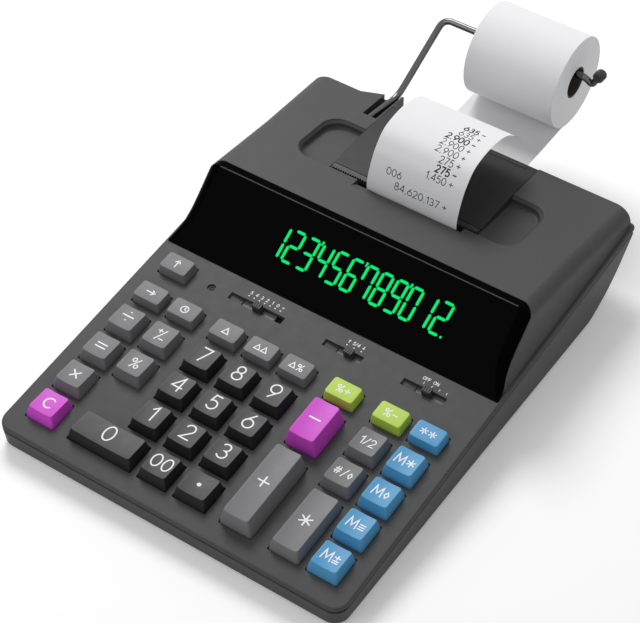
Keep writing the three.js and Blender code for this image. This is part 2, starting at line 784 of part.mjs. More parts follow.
const tubeDepth = windowThickness + gap + wall + gap;
const tubeLow = displayOpeningFoot - displayMargin;
const tubeHigh = displayOpeningFoot + displayOpeningHeight + displayMargin;
const tubeHalf = displayOpeningLength / 2 + displayMargin;
place("display_tube", prismX(
  [
    windowPoint(tubeLow, tubeDepth), windowPoint(tubeLow, tubeDepth + displayTubeDepth),
    windowPoint(tubeHigh, tubeDepth + displayTubeDepth), windowPoint(tubeHigh, tubeDepth),
  ],
  displayOffset - tubeHalf, displayOffset + tubeHalf,
), "glass");

// Lower case: a tub whose rear underside slopes up from the desk to the parting line.
const tubShares = [[0, 0], [0.25, 0.17], [0.5, 0.35], [0.75, 0.6], [1, 1]];
function tubRing(depthShare, backShare, inset, lift) {
  const rear = caseRear - inset - undercutLength * backShare;
  const draft = lowerDraft * depthShare + inset;
  const radii = [frontCornerRadius - inset, rearCornerRadius - inset];
  const half = caseHalfWidth - draft;
  const ring = roundRect(-half, half, draft - caseFront, rear, radii, caseSegments);
  const full = roundRect(-half, half, draft - caseFront, caseRear - inset, radii, caseSegments);
  return ring.map(([x, y], i) => {
    const rim = deckZ(full[i][1]) - partingDepth - gap;
    return [x, y, rim + (footHeight + lift - rim) * depthShare];
  });
}
function lowerCase() {
  const outer = loft([...tubShares].reverse().map(([deep, back]) => tubRing(deep, back, 0, 0)));
  const innerRings = [...tubShares].reverse().map(([deep, back]) => tubRing(deep, back, wall, wall));
  const open = innerRings[innerRings.length - 1].map(([x, y, z]) => [x, y, z + overrun]);
  // The lip stands up inside the upper case and closes the parting line.
  const lip = (inset, low, high) => loft([caseRing(inset, aboveDeck(low)), caseRing(inset, aboveDeck(high))]);
  const lipTop = -keyTopGap;
  const lipFoot = -partingDepth - gap;
  const rims = [lip(wall / 2, lipFoot - wall, lipFoot), lip(keyTopGap, lipFoot - wall, lipTop)];
  let tub = solid(outer).subtract(solid(loft([...innerRings, open]))).add(joined(rims));
  tub = tub.subtract(solid(lip(keyTopGap + lipThickness, lipFoot - wall - overrun, lipTop + overrun)));
  const floor = footHeight + wall / 2;
  const posts = [];
  const boardFoot = (boardDepth + gap * 2) / Math.cos(deckTilt);
  for (const x of [-boardHalfWidth + postRadius * 2, 0, boardHalfWidth - postRadius * 2]) {
    for (const y of [boardFront + postRadius * 2, boardRear - postRadius * 2]) {
      posts.push([x, y, deckZ(y) - boardFoot]);
    }
  }
  for (const x of [frameLeft + postRadius, frameRight - postRadius]) {
    for (const y of [frameFront + postRadius * 2, frameRear - postRadius * 2]) {
      posts.push([x, y, frameBaseZ - gap]);
    }
  }
  posts.forEach(([x, y, top]) => {
    const post = new THREE.CylinderGeometry(postRadius, postRadius, top - floor, 10)
      .rotateX(Math.PI / 2).translate(x, y, (top + floor) / 2);
    tub = tub.add(solid(post));
  });
  const inletLength = undercutLength;
  const inlet = new THREE.CylinderGeometry(inletRadius, inletRadius, inletLength, 16)
    .translate(inletX, caseRear, inletZ);
  const seats = footStrips.map(([y]) => footSeat(y, gap, footSink + gap));
  return cutAll(tub, [inlet, ...seats]);
}

// Rubber feet let into the floor
const footStrips = [
  [footInset - caseFront, "front_foot_strip"],
  [caseRear - undercutLength - footInset - footStripWidth, "rear_foot_strip"],
];
function footSeat(y, grow, height) {
  const half = caseHalfWidth - footStripMargin + grow;
  const shape = roundRect(-half, half, y - grow, y + footStripWidth + grow, footStripWidth / 3, 3);
  return prism(shape, footHeight - (grow > 0 ? overrun : footHeight), footHeight + height);
}
footStrips.forEach(([y, name]) => place(name, footSeat(y, 0, footSink), "rubber"));

// Keyboard board and dome mat, in the deck's frame
const matTop = -matDepth;
const boardOutline = roundRect(-boardHalfWidth, boardHalfWidth, boardFront, boardRear, keyCorner, 2);
place("keyboard_board", prism(
  boardOutline,
  matTop - matThickness - gap - boardThickness, matTop - matThickness - gap,
), "board", deck);
function domeMat() {
  const sheet = prism(boardOutline, matTop - matThickness, matTop);
  const domeTop = -keyTopGap - keyFlangeThickness - gap;
  const domeHeight = domeTop - matTop + matThickness / 2;
  const domes = keys.map(({ x, y, width, depth }) =>
    new THREE.CylinderGeometry(domeTopRadius, domeRadius, domeHeight, domeSides)
      .rotateX(Math.PI / 2).translate(x + width / 2, y + depth / 2, domeTop - domeHeight / 2),
  );
  return joined([sheet, ...domes]);
}
place("dome_mat", surface(domeMat()), "rubber", deck);

// Printer: frame, platen, gears, motor and head
const platenLeft = paperCentre - platenLength / 2;
const platenRight = paperCentre + platenLength / 2;
const plateLeft = platenLeft - gap * 2 - framePlate;
const plateRight = platenRight + gap * 2;
const frameLeft = plateLeft - gearBay - framePlate;
const frameRight = plateRight + framePlate;
const pinionDistance = (gearModule * (gearTeeth + pinionTeeth)) / 2;
const pinionY = platenY + pinionDistance * Math.SQRT1_2;
const pinionZ = platenZ - pinionDistance * Math.SQRT1_2;

// Outline of a gear with involute flanks; the first tooth points along +Y.
function gearOutline(teeth, turn) {
  const pitch = (gearModule * teeth) / 2;
  const base = pitch * Math.cos(20 * degrees);
  const tip = pitch + gearModule * 0.9;
  const root = pitch - gearModule * 1.2;
  const involute = (radius) => {
    const angle = Math.acos(Math.min(base / radius, 1));
    return Math.tan(angle) - angle;
  };
  const halfTooth = Math.PI / (2 * teeth) - gearBacklash / (4 * pitch) + involute(pitch);
  const start = Math.max(base, root);
  const radii = [start, tip];
  const points = [];
  for (let tooth = 0; tooth < teeth; tooth += 1) {
    const centre = turn + (2 * Math.PI * tooth) / teeth;
    const flank = radii.map((r) => [r, halfTooth - involute(r)]);
    const foot = [root, flank[0][1] + (gearModule * 0.05) / pitch];
    const rising = [foot, ...flank].map(([r, a]) => [r, centre - a]);
    const falling = [...flank.reverse(), foot].map(([r, a]) => [r, centre + a]);
    points.push(...rising, ...falling);
  }
  return points.map(([r, a]) => [r * Math.cos(a), r * Math.sin(a)]);
}
function gear(teeth, turn, y, z, x0, x1, bore) {
  const outline = gearOutline(teeth, turn).map(([a, b]) => [y + a, z + b]);
  const body = solid(prismX(outline, x0, x1));
  return bore > 0 ? body.subtract(solid(discX(x0 - overrun, x1 + overrun, y, z, bore, 16))) : body;
}
const gearLeft = plateLeft - gearBay / 2 - gearWidth / 2;
const gearRight = gearLeft + gearWidth;
const roller = discX(platenLeft, platenRight, platenY, platenZ, platenRadius, 28);
const shaft = discX(gearLeft - gap, frameRight + gap, platenY, platenZ, shaftRadius, 16);
place("platen_roller", surface(joined([roller, shaft])), "rubber");
place("platen_gear", surface(
  gear(gearTeeth, 0, platenY, platenZ, gearLeft, gearRight, shaftRadius + gap),
), "knob");
// The pinion is turned so that one of its gaps faces the platen gear's tooth on the line of centres.
const meshAngle = -45 * degrees;
const gearPhase = (meshAngle * gearTeeth) / (2 * Math.PI);
const pinionPhase = gearPhase - Math.floor(gearPhase) + 0.5;
const pinionTurn = meshAngle + Math.PI + (pinionPhase * 2 * Math.PI) / pinionTeeth;
const pinionBody = gear(pinionTeeth, pinionTurn, pinionY, pinionZ, gearLeft, gearRight, 0);
const motorBore = motorLength / 2;
const pinionShaft = discX(frameLeft - motorBore + gap, gearLeft + gap, pinionY, pinionZ, shaftRadius, 12);
place("motor_pinion", surface(pinionBody.add(solid(pinionShaft))), "steel");
const motorCan = discX(frameLeft - gap - motorLength, frameLeft - gap, pinionY, pinionZ, motorRadius, 20);
const motorHole = discX(frameLeft - motorBore, frameLeft + overrun, pinionY, pinionZ, shaftRadius + gap, 12);
place("drive_motor", surface(solid(motorCan).subtract(solid(motorHole))), "steel");

function printerFrame() {
  const plateProfile = [
    [frameFront, frameBaseZ], [frameRear, frameBaseZ], [frameRear, frameBaseZ + motorRadius],
    [platenY + platenRadius * 2, frameTop], [frameFront + headThickness, frameTop], [frameFront, headFoot],
  ];
  const plates = [frameLeft, plateLeft, plateRight].map((x) => prismX(plateProfile, x, x + framePlate));
  const base = block(frameLeft, frameRight, frameFront, frameRear, frameBaseZ, frameBaseZ + framePlate);
  const bores = [
    discX(plateLeft - overrun, frameRight + overrun, platenY, platenZ, shaftRadius + shaftClearance, 16),
    discX(frameLeft - overrun, frameLeft + framePlate + overrun, pinionY, pinionZ, motorBossRadius, 16),
  ];
  return cutAll(joined([...plates, base]), bores);
}
place("printer_frame", surface(printerFrame()), "steel");
const headRear = platenY - platenRadius - gap * 2 - webThickness;
place("print_head", block(
  platenLeft - gap, platenRight + gap, headRear - headThickness, headRear, headFoot, headTop,
), "steel");
place("lower_case", surface(lowerCase()), "lower");

// Printer cover with its crowned top, skirts and the ledge that carries the tear bar
function arcPoints(y0, z0, y1, z1, crown, steps) {
  return Array.from({ length: steps + 1 }, (_, i) => {
    const t = i / steps;
    return [y0 + (y1 - y0) * t, z0 + (z1 - z0) * t + 4 * crown * t * (1 - t)];
  });
}
const coverLeft = wellLeft + gap;
const coverRight = wellRight - gap;
function printerCover() {
  const top = arcPoints(coverArcFront, coverFrontZ, coverRear, coverRearZ, coverCrown, 10);
  const under = top.map(([y, z]) => [y, z - coverThickness]).reverse();
  const ledge = ledgeZ - gap;
  const profile = [
    [coverFront, ledge - coverThickness], [coverFront, ledge], [coverArcFront - gap, ledge], ...top, ...under,
  ];
  const skirt = [
    [coverFront, ledge - coverSkirt], [coverFront, ledge - overrun], ...top.map(([y, z]) => [y, z - overrun]),
    [coverRear, coverRearZ - coverSkirt], [platenY + platenRadius * 2, ledge - coverSkirt],
  ];
  const ridgeY = coverRear - coverRidgeWidth * 2;
  const ridge = block(
    coverLeft + coverSkirt, coverRight - coverSkirt, ridgeY, ridgeY + coverRidgeWidth,
    coverRearZ - overrun, coverRearZ + coverRidge,
  );
  return joined([
    prismX(profile, coverLeft, coverRight), prismX(skirt, coverLeft, coverLeft + coverThickness),
    prismX(skirt, coverRight - coverThickness, coverRight), ridge,
  ]);
}
place("printer_cover", surface(printerCover()), "body");

// Tear bar: one tooth after another along the front edge
function tearBar() {
  const left = coverLeft + gap * 2;
  const right = coverRight - gap * 2;
  const count = Math.round((right - left) / toothPitch);
  const pitch = (right - left) / count;
  const front = coverFront + toothHeight;
  const rear = coverArcFront - gap * 2;
  const points = [[left, rear], [left, front]];
  for (let i = 0; i < count; i += 1) {
    points.push([left + pitch * (i + 0.5), front - toothHeight], [left + pitch * (i + 1), front]);
  }
  points.push([right, rear]);
  return prism(points, ledgeZ, ledgeZ + tearBarThickness);
}
place("tear_bar", tearBar(), "steel");

// Paper roll and web
const rollSegments = 40;
const rollProfile = [
  [rollHoleRadius, -rollHalf], [rollRadius, -rollHalf], [rollRadius, rollHalf], [rollHoleRadius, rollHalf],
  [rollHoleRadius, -rollHalf],
];
const roll = new THREE.LatheGeometry(rollProfile.map(([r, z]) => new THREE.Vector2(r, z)), rollSegments)
  .rotateZ(-Math.PI / 2)
  .translate(rollCentre, rollY, rollZ);
place("paper_roll", surface(solid(roll)), "paper");

// The web's path in the side view: off the roll's foot, under the cover, round the platen, up and curled back.
const webRadius = platenRadius + gap + webThickness / 2;
const slotY = platenY - webRadius;
const rollFootZ = rollZ - rollRadius - gap - webThickness / 2;
const curlTop = 91.2;
const curlRearFromPlaten = 60.6;
const curlTipZ = 70.3;
const curlCrestYFromPlaten = 26.9;
const webMiddleYFromPlaten = 54.5;
const webMiddleZ = 44.5;
const curlRear = platenY + curlRearFromPlaten;
const curlCrestY = platenY + curlCrestYFromPlaten;
const webMiddleY = platenY + webMiddleYFromPlaten;
function webPath() {
  const feed = new THREE.CatmullRomCurve3([
    new THREE.Vector3(0, rollY, rollFootZ),
    new THREE.Vector3(0, (rollY + webMiddleY) / 2, (rollFootZ + webMiddleZ) / 2),
    new THREE.Vector3(0, webMiddleY, webMiddleZ),
    new THREE.Vector3(0, platenY + webRadius * 2.4, platenZ - webRadius * 0.8),
    new THREE.Vector3(0, platenY + webRadius * 0.5, platenZ - webRadius),
  ]).getPoints(10);
  const wrap = Array.from({ length: 6 }, (_, i) => {
    const angle = -Math.PI / 2 - (Math.PI / 2) * (i / 5);
    return new THREE.Vector3(0, platenY + webRadius * Math.cos(angle), platenZ + webRadius * Math.sin(angle));
  });
  const curlShares = [[0, 0.13], [0.1, 0.46], [0.24, 0.72], [0.5, 0.95]];
  const slotTop = roofZ(slotY);
  const rise = curlTop - slotTop;
  const reach = curlCrestY - slotY;
  const curl = new THREE.CatmullRomCurve3([
    new THREE.Vector3(0, slotY, slotTop - recessDepth),
    ...curlShares.map(([along, up]) => new THREE.Vector3(0, slotY + reach * along, slotTop + rise * up)),
    new THREE.Vector3(0, curlCrestY, curlTop),
    new THREE.Vector3(0, (curlCrestY + curlRear) / 2, curlTop - (curlTop - curlTipZ) * 0.25),
    new THREE.Vector3(0, curlRear, curlTipZ),
  ]).getPoints(16);
  return [...feed, ...wrap, ...curl].map((p) => new THREE.Vector2(p.y, p.z));
}
function ribbon(path, thickness) {
  const sides = [-thickness / 2, thickness / 2].map((offset) =>
    path.map((p, i) => {
      const along = path[Math.min(i + 1, path.length - 1)].clone().sub(path[Math.max(i - 1, 0)]).normalize();
      return [p.x - along.y * offset, p.y + along.x * offset];
    }),
  );
  return [...sides[0], ...sides[1].reverse()];
}
const webOutline = ribbon(webPath(), webThickness);
place("paper_web", prismX(webOutline, paperCentre - rollHalf, paperCentre + rollHalf), "paper");

// Wire holder: one bent rod along straight legs with rounded bends
function bentPath(corners, radius) {
  const path = new THREE.CurvePath();
  let from = corners[0];
  for (let i = 1; i < corners.length - 1; i += 1) {
    const here = corners[i];
    const before = here.clone().sub(corners[i - 1]);
    const after = corners[i + 1].clone().sub(here);
    const cut = Math.min(radius, before.length() / 2.2, after.length() / 2.2);
    const start = here.clone().sub(before.normalize().multiplyScalar(cut));
    const end = here.clone().add(after.normalize().multiplyScalar(cut));
    path.add(new THREE.LineCurve3(from, start));
    path.add(new THREE.QuadraticBezierCurve3(start, here, end));
    from = end;
  }
  path.add(new THREE.LineCurve3(from, corners[corners.length - 1]));
  return path;
}
const point = (x, y, z) => new THREE.Vector3(x, y, z);
const tailStart = point(wireDipX, rollY, wireZ - wireDipDrop);
const tailEnd = point(wireTailX, rollY, wireZ + wireTailRise);
const wireCorners = [
  point(wireX, wireSocketY, wireSocketZ), point(wireX, wireSlotFront, wireSocketZ),
  point(wireKneeX, wireKneeY, wireKneeZ), point(wireTopX, rollY, wireZ), point(wireEndX, rollY, wireZ),
  tailStart, tailEnd,
];
const wireSides = 8;
const bendSteps = 4;
function wireGeometry() {
  const curves = bentPath(wireCorners, wireBendRadius).curves;
  const points = curves.flatMap((curve, i) => {
    const steps = curve.isLineCurve3 ? 1 : bendSteps;
    return curve.getPoints(steps).slice(i === 0 ? 0 : 1);
  });
  const rings = [];
  const up = new THREE.Vector3(1, 0, 0);
  let side = null;
  points.forEach((p, i) => {
    const back = points[Math.max(i - 1, 0)];
    const next = points[Math.min(i + 1, points.length - 1)];
    const along = next.clone().sub(back).normalize();
    side = side === null ? new THREE.Vector3().crossVectors(along, up).normalize() : side.clone();
    side.sub(along.clone().multiplyScalar(side.dot(along))).normalize();
    const other = new THREE.Vector3().crossVectors(along, side);
    rings.push(Array.from({ length: wireSides }, (_, k) => {
      const angle = (2 * Math.PI * k) / wireSides;
      const spot = p.clone().addScaledVector(side, wireRadius * Math.cos(angle))
        .addScaledVector(other, wireRadius * Math.sin(angle));
      return [spot.x, spot.y, spot.z];
    }));
  });
  return loft(rings);
}
place("roll_holder", surface(solid(wireGeometry())), "chrome");

// Cap pushed over the wire's upturned end
const capSegments = 14;
const capBore = capLength * 0.7;
const capProfile = [
  [0, capBore], [wireRadius + gap, capBore], [wireRadius + gap, 0], [capRadius, 0],
  [capRadius, capLength * 0.75], [capRadius * 0.7, capLength * 0.95], [0, capLength],
];
const capLathe = new THREE.LatheGeometry(capProfile.map(([r, z]) => new THREE.Vector2(r, z)), capSegments);
const tailWay = tailEnd.clone().sub(tailStart).normalize();
capLathe.applyQuaternion(new THREE.Quaternion().setFromUnitVectors(new THREE.Vector3(0, 1, 0), tailWay));
const capFoot = tailEnd.clone().addScaledVector(tailWay, gap - capBore);
capLathe.translate(capFoot.x, capFoot.y, capFoot.z);
place("holder_cap", surface(solid(capLathe)), "rubber");

// The part's origin is the middle of its footprint box, on the desk.
calculator.position.y = (caseFront - (rollY + rollRadius)) / 2;

export default calculator;
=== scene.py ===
from itertools import accumulate
from math import atan2, ceil, cos, dist, exp, hypot, pi, radians, sin, sqrt, tan

import bmesh
import bpy
from mathutils import Matrix, Vector


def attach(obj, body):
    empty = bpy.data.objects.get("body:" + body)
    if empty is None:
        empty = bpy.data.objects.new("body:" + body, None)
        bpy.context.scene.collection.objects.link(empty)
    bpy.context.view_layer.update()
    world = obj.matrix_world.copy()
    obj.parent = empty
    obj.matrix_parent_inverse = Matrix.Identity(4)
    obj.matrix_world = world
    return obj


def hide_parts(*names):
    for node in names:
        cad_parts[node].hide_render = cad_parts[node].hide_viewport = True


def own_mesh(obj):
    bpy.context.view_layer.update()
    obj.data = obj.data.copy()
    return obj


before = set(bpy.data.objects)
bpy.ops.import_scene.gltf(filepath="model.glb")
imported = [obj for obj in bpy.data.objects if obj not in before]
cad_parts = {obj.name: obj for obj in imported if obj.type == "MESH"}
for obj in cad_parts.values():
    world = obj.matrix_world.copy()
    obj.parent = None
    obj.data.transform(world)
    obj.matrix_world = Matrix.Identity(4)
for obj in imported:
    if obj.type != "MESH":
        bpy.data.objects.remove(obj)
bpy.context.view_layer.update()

SCENE = bpy.context.scene

# Shapes are worked out in millimetres, in the part's design frame or on its sloping deck, and end in metres.
MM = 0.001
TILT = radians(5.35)
DECK_FRONT = 16.2
DESIGN = Matrix.Translation((0, -171.5607 * MM, 0)) @ Matrix.Scale(MM, 4)
ON_DECK = Matrix.Translation((0, 0, DECK_FRONT)) @ Matrix.Rotation(TILT, 4, "X")
DECK = DESIGN @ ON_DECK

# Case
GAP = 0.3
WALL = 2.5
OVERRUN = 1
FOOT_HEIGHT = 2
CASE_HALF = 107
CASE_FRONT = 12.5
CASE_REAR = 277.02
FRONT_CORNER = 8.5
REAR_CORNER = 3
DECK_EDGE = 1.4
PARTING = 3.2
GROOVE = 1.3
LOWER_DRAFT = 0.8
UNDERCUT = 42
INNER_CORNER = 0.4
LIP_THICKNESS = 1.2
BOTTOM_EDGE = 1.2
CASE_STEPS = 12
FOOT_STRIPS = (1.5, 209.02)
FOOT_HALF = 75
FOOT_DEPTH = 12
FOOT_INLAY = 1

# Hood
WINDOW_FOOT = 133.5
WINDOW_SLOPE = radians(43.2)
WINDOW_LENGTH = 50.1
WINDOW_THICKNESS = 3.5
ROOF_FALL = radians(6.6)
HOOD_HALF = 102
FLARE_WIDTH = 2.8
FLARE_FADE = 3.5
HOOD_SINK = 2
SHOULDER = 8
SHOULDER_SHARE = 0.75
SHOULDER_STEPS = 8

# Recess, well and boss
RECESS_LEFT = -73
RECESS_RIGHT = 69
RECESS_FRONT = 206.52
RECESS_REAR = 248.02
RECESS_DEPTH = 5
RECESS_DRAFT = 1.2
RECESS_RADIUS = 11
RECESS_SIDE = 1.6
RECESS_SLOPE = 5.5
RECESS_LIP = 0.5
WELL_LEFT = -50.5
WELL_RIGHT = 45.1
WELL_FRONT = 207.12
WELL_FLOOR = 41
NOTCH_LEFT = -28.7
NOTCH_RIGHT = 39.5
NOTCH_DEPTH = 3.3
NOTCH_RAMP = 5.5
NOTCH_RAMP_DEPTH = 1.5
BOSS = [(-74, 248.32), (-50.5, 248.32), (-50.5, 287.52), (-74, 276.72)]
BOSS_FLOOR = 41.5
TUBE_OPENING = ((11, 38), (-53, 73))
INLET = (-80, 29)
INLET_RADIUS = 3.4

# Keys
PITCH_X = 22.4
PITCH_Y = 22.1
KEY_WIDTH = 17.9
KEY_DEPTH = 17.6
KEY_RIM = 0.4
KEY_CORNER = 1.3
KEY_FLANGE = 1
KEY_FLANGE_THICKNESS = 1.4
KEY_CLEARANCE = 0.35
ZERO_WIDTH = 40.5
POINT_WIDTH = 19.8
PLUS_DEPTH = 49.4
MINUS_DEPTH = 27.1
MINUS_FRONT = 56.6
TOTAL_DEPTH = 39.4
LOW_WIDTH = 18.3
LOW_DEPTH = 12.3
TALL_SHAPE = dict(height=7.4, drop=1.4, side=1.5, front=2, rear=0.4, dish=0.9)
BIG_SHAPE = dict(height=10.9, drop=0.2, side=2.2, front=1.5, rear=0.3, dish=0.9)
LOW_SHAPE = dict(height=5.5, drop=0.3, side=0.8, front=0.8, rear=0.1, dish=0)
LEFT_BLOCK = -96.7
DIGIT_BLOCK = -46.8
PLUS_COLUMN = 26.6
PLUS_WIDTH = 19.3
MEMORY_COLUMN = 78.5
FUNCTION_ROW = 90.3
FEED_ROW = 113.9

# Switches and reset
SWITCH_ROW = 121
SWITCH_SLOT = 4.6
SWITCH_KNOB = (5.2, 3.9, 3.2)
PLATE_REACH = 8
PLATE_THICKNESS = 1.4
SIDE_RECESS = 8
SIDE_RECESS_DEPTH = 2.1
SIDE_RECESS_RISE = 0.7
# Left and right end of each slot, and the knob's place at rest
SWITCHES = {"decimal": (-45.6, -19, -35.1), "rounding": (15.4, 31.2, 23.3), "mode": (64.2, 82.2, 71.5)}
RESET = (-64.8, 119.9)
RESET_HOLE = 1.4
RESET_CUP = 2.5

# Paper
PAPER_CENTRE = 7
ROLL_CENTRE = 8.5
PAPER_WIDTH = 57
ROLL_RADIUS = 27.5
ROLL_HOLE = 8.5
ROLL_Y = 328.12
ROLL_Z = 73.5
PLATEN_Y = 212.72
PLATEN_Z = 39.7
PLATEN_RADIUS = 7.5
WIRE_RADIUS = 2
WIRE_X = -57
WIRE_LEVEL = 50.1
WIRE_BEND = 259.82
WIRE_KNEE = (287.02, 48.5)
WIRE_BEND_RADIUS = 6
TROUGH_SIDES = (-60.6, -51.7)
BORE_FRONT = 252.32
BORE_LENGTH = 8.5
INK_THICKNESS = 0.03


# Materials

def srgb(*levels):
    """A linear colour from the 0 to 255 levels of the screen."""
    linear = [((v / 255 + 0.055) / 1.055) ** 2.4 if v > 10 else v / 255 / 12.92 for v in levels]
    return (*linear, 1)


def set_inputs(node, values):
    for label, value in values.items():
        node.inputs[label].default_value = value
    return node


def new_material(name, values):
    """A material, its node tree and its shader with the given values."""
    made = bpy.data.materials.new(name)
    made.use_nodes = True
    return made, made.node_tree, set_inputs(made.node_tree.nodes["Principled BSDF"], values)


def noise(tree, size, detail=2):
    """Noise in the object's own coordinates. The size is in mm."""
    place = tree.nodes.new("ShaderNodeTexCoord")
    texture = set_inputs(tree.nodes.new("ShaderNodeTexNoise"), {"Scale": 1 / (size * MM), "Detail": detail})
    tree.links.new(place.outputs["Object"], texture.inputs["Vector"])
    return texture.outputs["Fac"]


def spread(tree, value, low, high):
    """A value between 0 and 1 brought between low and high."""
    level = set_inputs(tree.nodes.new("ShaderNodeMapRange"), {"To Min": low, "To Max": high})
    tree.links.new(value, level.inputs["Value"])
    return level.outputs["Result"]


def material(name, color, roughness, tone, metallic=0, grain=0, grain_size=0.4, specular=0.5):
    """Moulded or finished surface: fine grain in the bump, slow changes of tone and gloss. Grain sizes in mm."""
    made, tree, shader = new_material(name, {"Metallic": metallic, "Specular IOR Level": specular})
    mix = tree.nodes.new("ShaderNodeVectorMath")
    mix.operation = "SCALE"
    mix.inputs[0].default_value = srgb(*color)[:3]
    tree.links.new(spread(tree, noise(tree, 28, 3), 1 - tone, 1 + tone), mix.inputs["Scale"])
    tree.links.new(mix.outputs["Vector"], shader.inputs["Base Color"])
    gloss = spread(tree, noise(tree, 6), max(roughness - 0.06, 0.02), min(roughness + 0.06, 1))
    tree.links.new(gloss, shader.inputs["Roughness"])
    if grain:
        bump = set_inputs(tree.nodes.new("ShaderNodeBump"), {"Strength": grain, "Distance": 0.05 * MM})
        tree.links.new(noise(tree, grain_size), bump.inputs["Height"])
        tree.links.new(bump.outputs["Normal"], shader.inputs["Normal"])
    return made


def plastic(name, color, roughness=0.45, grain=0.2, specular=0.25):
    return material(name, color, roughness, 0.03, grain=grain, specular=specular)


def glow_material(name, color):
    made, tree, shader = new_material(name, {
        "Base Color": srgb(0, 0, 0), "Roughness": 0.5, "Specular IOR Level": 0, "Emission Color": srgb(*color),
    })
    tree.links.new(spread(tree, noise(tree, 5), 0.94, 1.06), shader.inputs["Emission Strength"])
    return made


MATERIALS = {
    "body": plastic("case_plastic", (67, 67, 68), 0.52, 0.35),
    "lower": plastic("lower_case_plastic", (70, 70, 71), 0.55, 0.35),
    # The cover is a darker copy of the case grey: painted shade for the shade over the printer well.
    "cover": plastic("cover_plastic_painted_shade", (56, 56, 57), 0.5, specular=0.15),
    "window": material("window_acrylic", (1, 1, 1), 0.08, tone=0.1, specular=0.012),
    # Digit caps get two copies of one dark plastic: the tops painted lighter as sheen, the sides darker as shade.
    "digit": plastic("digit_key_top_painted_sheen", (62, 62, 64)),
    "digit_shaded_side": plastic("digit_key_side_shaded_copy", (38, 38, 39), specular=0.2),
    "function": plastic("function_key_plastic", (118, 118, 120)),
    "large": plastic("large_key_plastic", (123, 123, 125)),
    "magenta": plastic("magenta_key_plastic", (214, 78, 212), 0.42),
    "green": plastic("green_key_plastic", (186, 218, 84), 0.42),
    "blue": plastic("blue_key_plastic", (86, 160, 208), 0.42),
    "knob": plastic("knob_plastic", (58, 58, 59)),
    "rubber": material("rubber", (30, 30, 31), 0.8, grain=0.6, tone=0.08, specular=0.25),
    "mat": material("mat_rubber", (120, 122, 126), 0.7, grain=0.4, tone=0.05, specular=0.25),
    "board": material("board_laminate", (46, 100, 58), 0.45, grain=0.25, grain_size=0.9, tone=0.12),
    "tube": material("display_tube_glass", (30, 42, 38), 0.12, tone=0.05),
    "steel": material("pressed_steel", (168, 170, 172), 0.34, metallic=1, grain=0.15, tone=0.08),
    "chrome": material("polished_wire", (92, 93, 95), 0.16, metallic=1, grain=0.05, tone=0.06),
    "gear": material("gear_plastic", (52, 52, 54), 0.4, grain=0.15, tone=0.05, specular=0.25),
    "print": material("legend_ink", (253, 253, 253), 0.5, tone=0.01, specular=0.1),
    "ink": material("thermal_print", (34, 34, 38), 0.8, tone=0.2, specular=0.1),
    # The core's card colour is darkened: partly its own card, partly painted shade for the inside of the roll's hole.
    "core": material("roll_core_card_and_painted_shade", (84, 81, 78), 0.85, grain=0.5, tone=0.1, specular=0.1),
    "paper": material("paper", (241, 241, 243), 0.75, grain=0.25, grain_size=0.8, tone=0.015),
    "segment": glow_material("segment_glow", (15, 238, 120)),
}


# Mesh tools

def arc(cx, cy, rx, ry, start, end, steps=16):
    """Points of an elliptic arc between two angles in degrees."""
    angles = [radians(start + (end - start) * i / steps) for i in range(steps + 1)]
    return [(cx + rx * cos(a), cy + ry * sin(a)) for a in angles]


def round_rect(x0, x1, y0, y1, radius, steps):
    """Points of a rectangle, counter-clockwise from its front left corner. radius may be a front and a rear one."""
    front, rear = radius if isinstance(radius, tuple) else (radius, radius)
    corners = [
        (x0 + front, y0 + front, front, 180), (x1 - front, y0 + front, front, 270),
        (x1 - rear, y1 - rear, rear, 0), (x0 + rear, y1 - rear, rear, 90),
    ]
    return [p for cx, cy, size, start in corners for p in arc(cx, cy, size, size, start, start + 90, steps)]


def at_height(ring, height):
    return [(x, y, height(y) if callable(height) else height) for x, y in ring]


def mesh_object(name, verts, faces, matrix=None):
    mesh = bpy.data.meshes.new(name)
    mesh.from_pydata([tuple(v) for v in verts], [], faces)
    work = bmesh.new()
    work.from_mesh(mesh)
    bmesh.ops.recalc_face_normals(work, faces=work.faces)
    work.to_mesh(mesh)
    work.free()
    if matrix is not None:
        mesh.transform(matrix)
    made = bpy.data.objects.new(name, mesh)
    SCENE.collection.objects.link(made)
    return made


def wall_faces(low, count):
    """Faces from the ring of points that starts at low up to the ring after it."""
    return [(low + i, low + (i + 1) % count, low + count + (i + 1) % count, low + count + i) for i in range(count)]


def loft(name, rings, caps=None, matrix=None):
    """A body through rings of equal length. caps replaces the flat end over the last ring by faces of its points."""
    count = len(rings[0])
    verts = [p for ring in rings for p in ring]
    top = len(verts) - count
    faces = [face for low in range(0, top, count) for face in wall_faces(low, count)]
    faces.append(tuple(range(count))[::-1])
    faces += [tuple(top + i for i in cap) for cap in caps or [range(count)]]
    return mesh_object(name, verts, faces, matrix)


def prism(name, ring, low, high, matrix=None):
    return loft(name, [at_height(ring, low), at_height(ring, high)], matrix=matrix)


def prism_x(name, profile, x0, x1, matrix=None):
    return loft(name, [[(x, y, z) for y, z in profile] for x in (x0, x1)], matrix=matrix)


def box(name, x0, x1, y0, y1, z0, z1, matrix=None):
    return prism(name, [(x0, y0), (x1, y0), (x1, y1), (x0, y1)], z0, z1, matrix)


def disc_ring(radius, steps):
    angles = [2 * pi * i / steps for i in range(steps)]
    return [(radius * cos(a), radius * sin(a)) for a in angles]


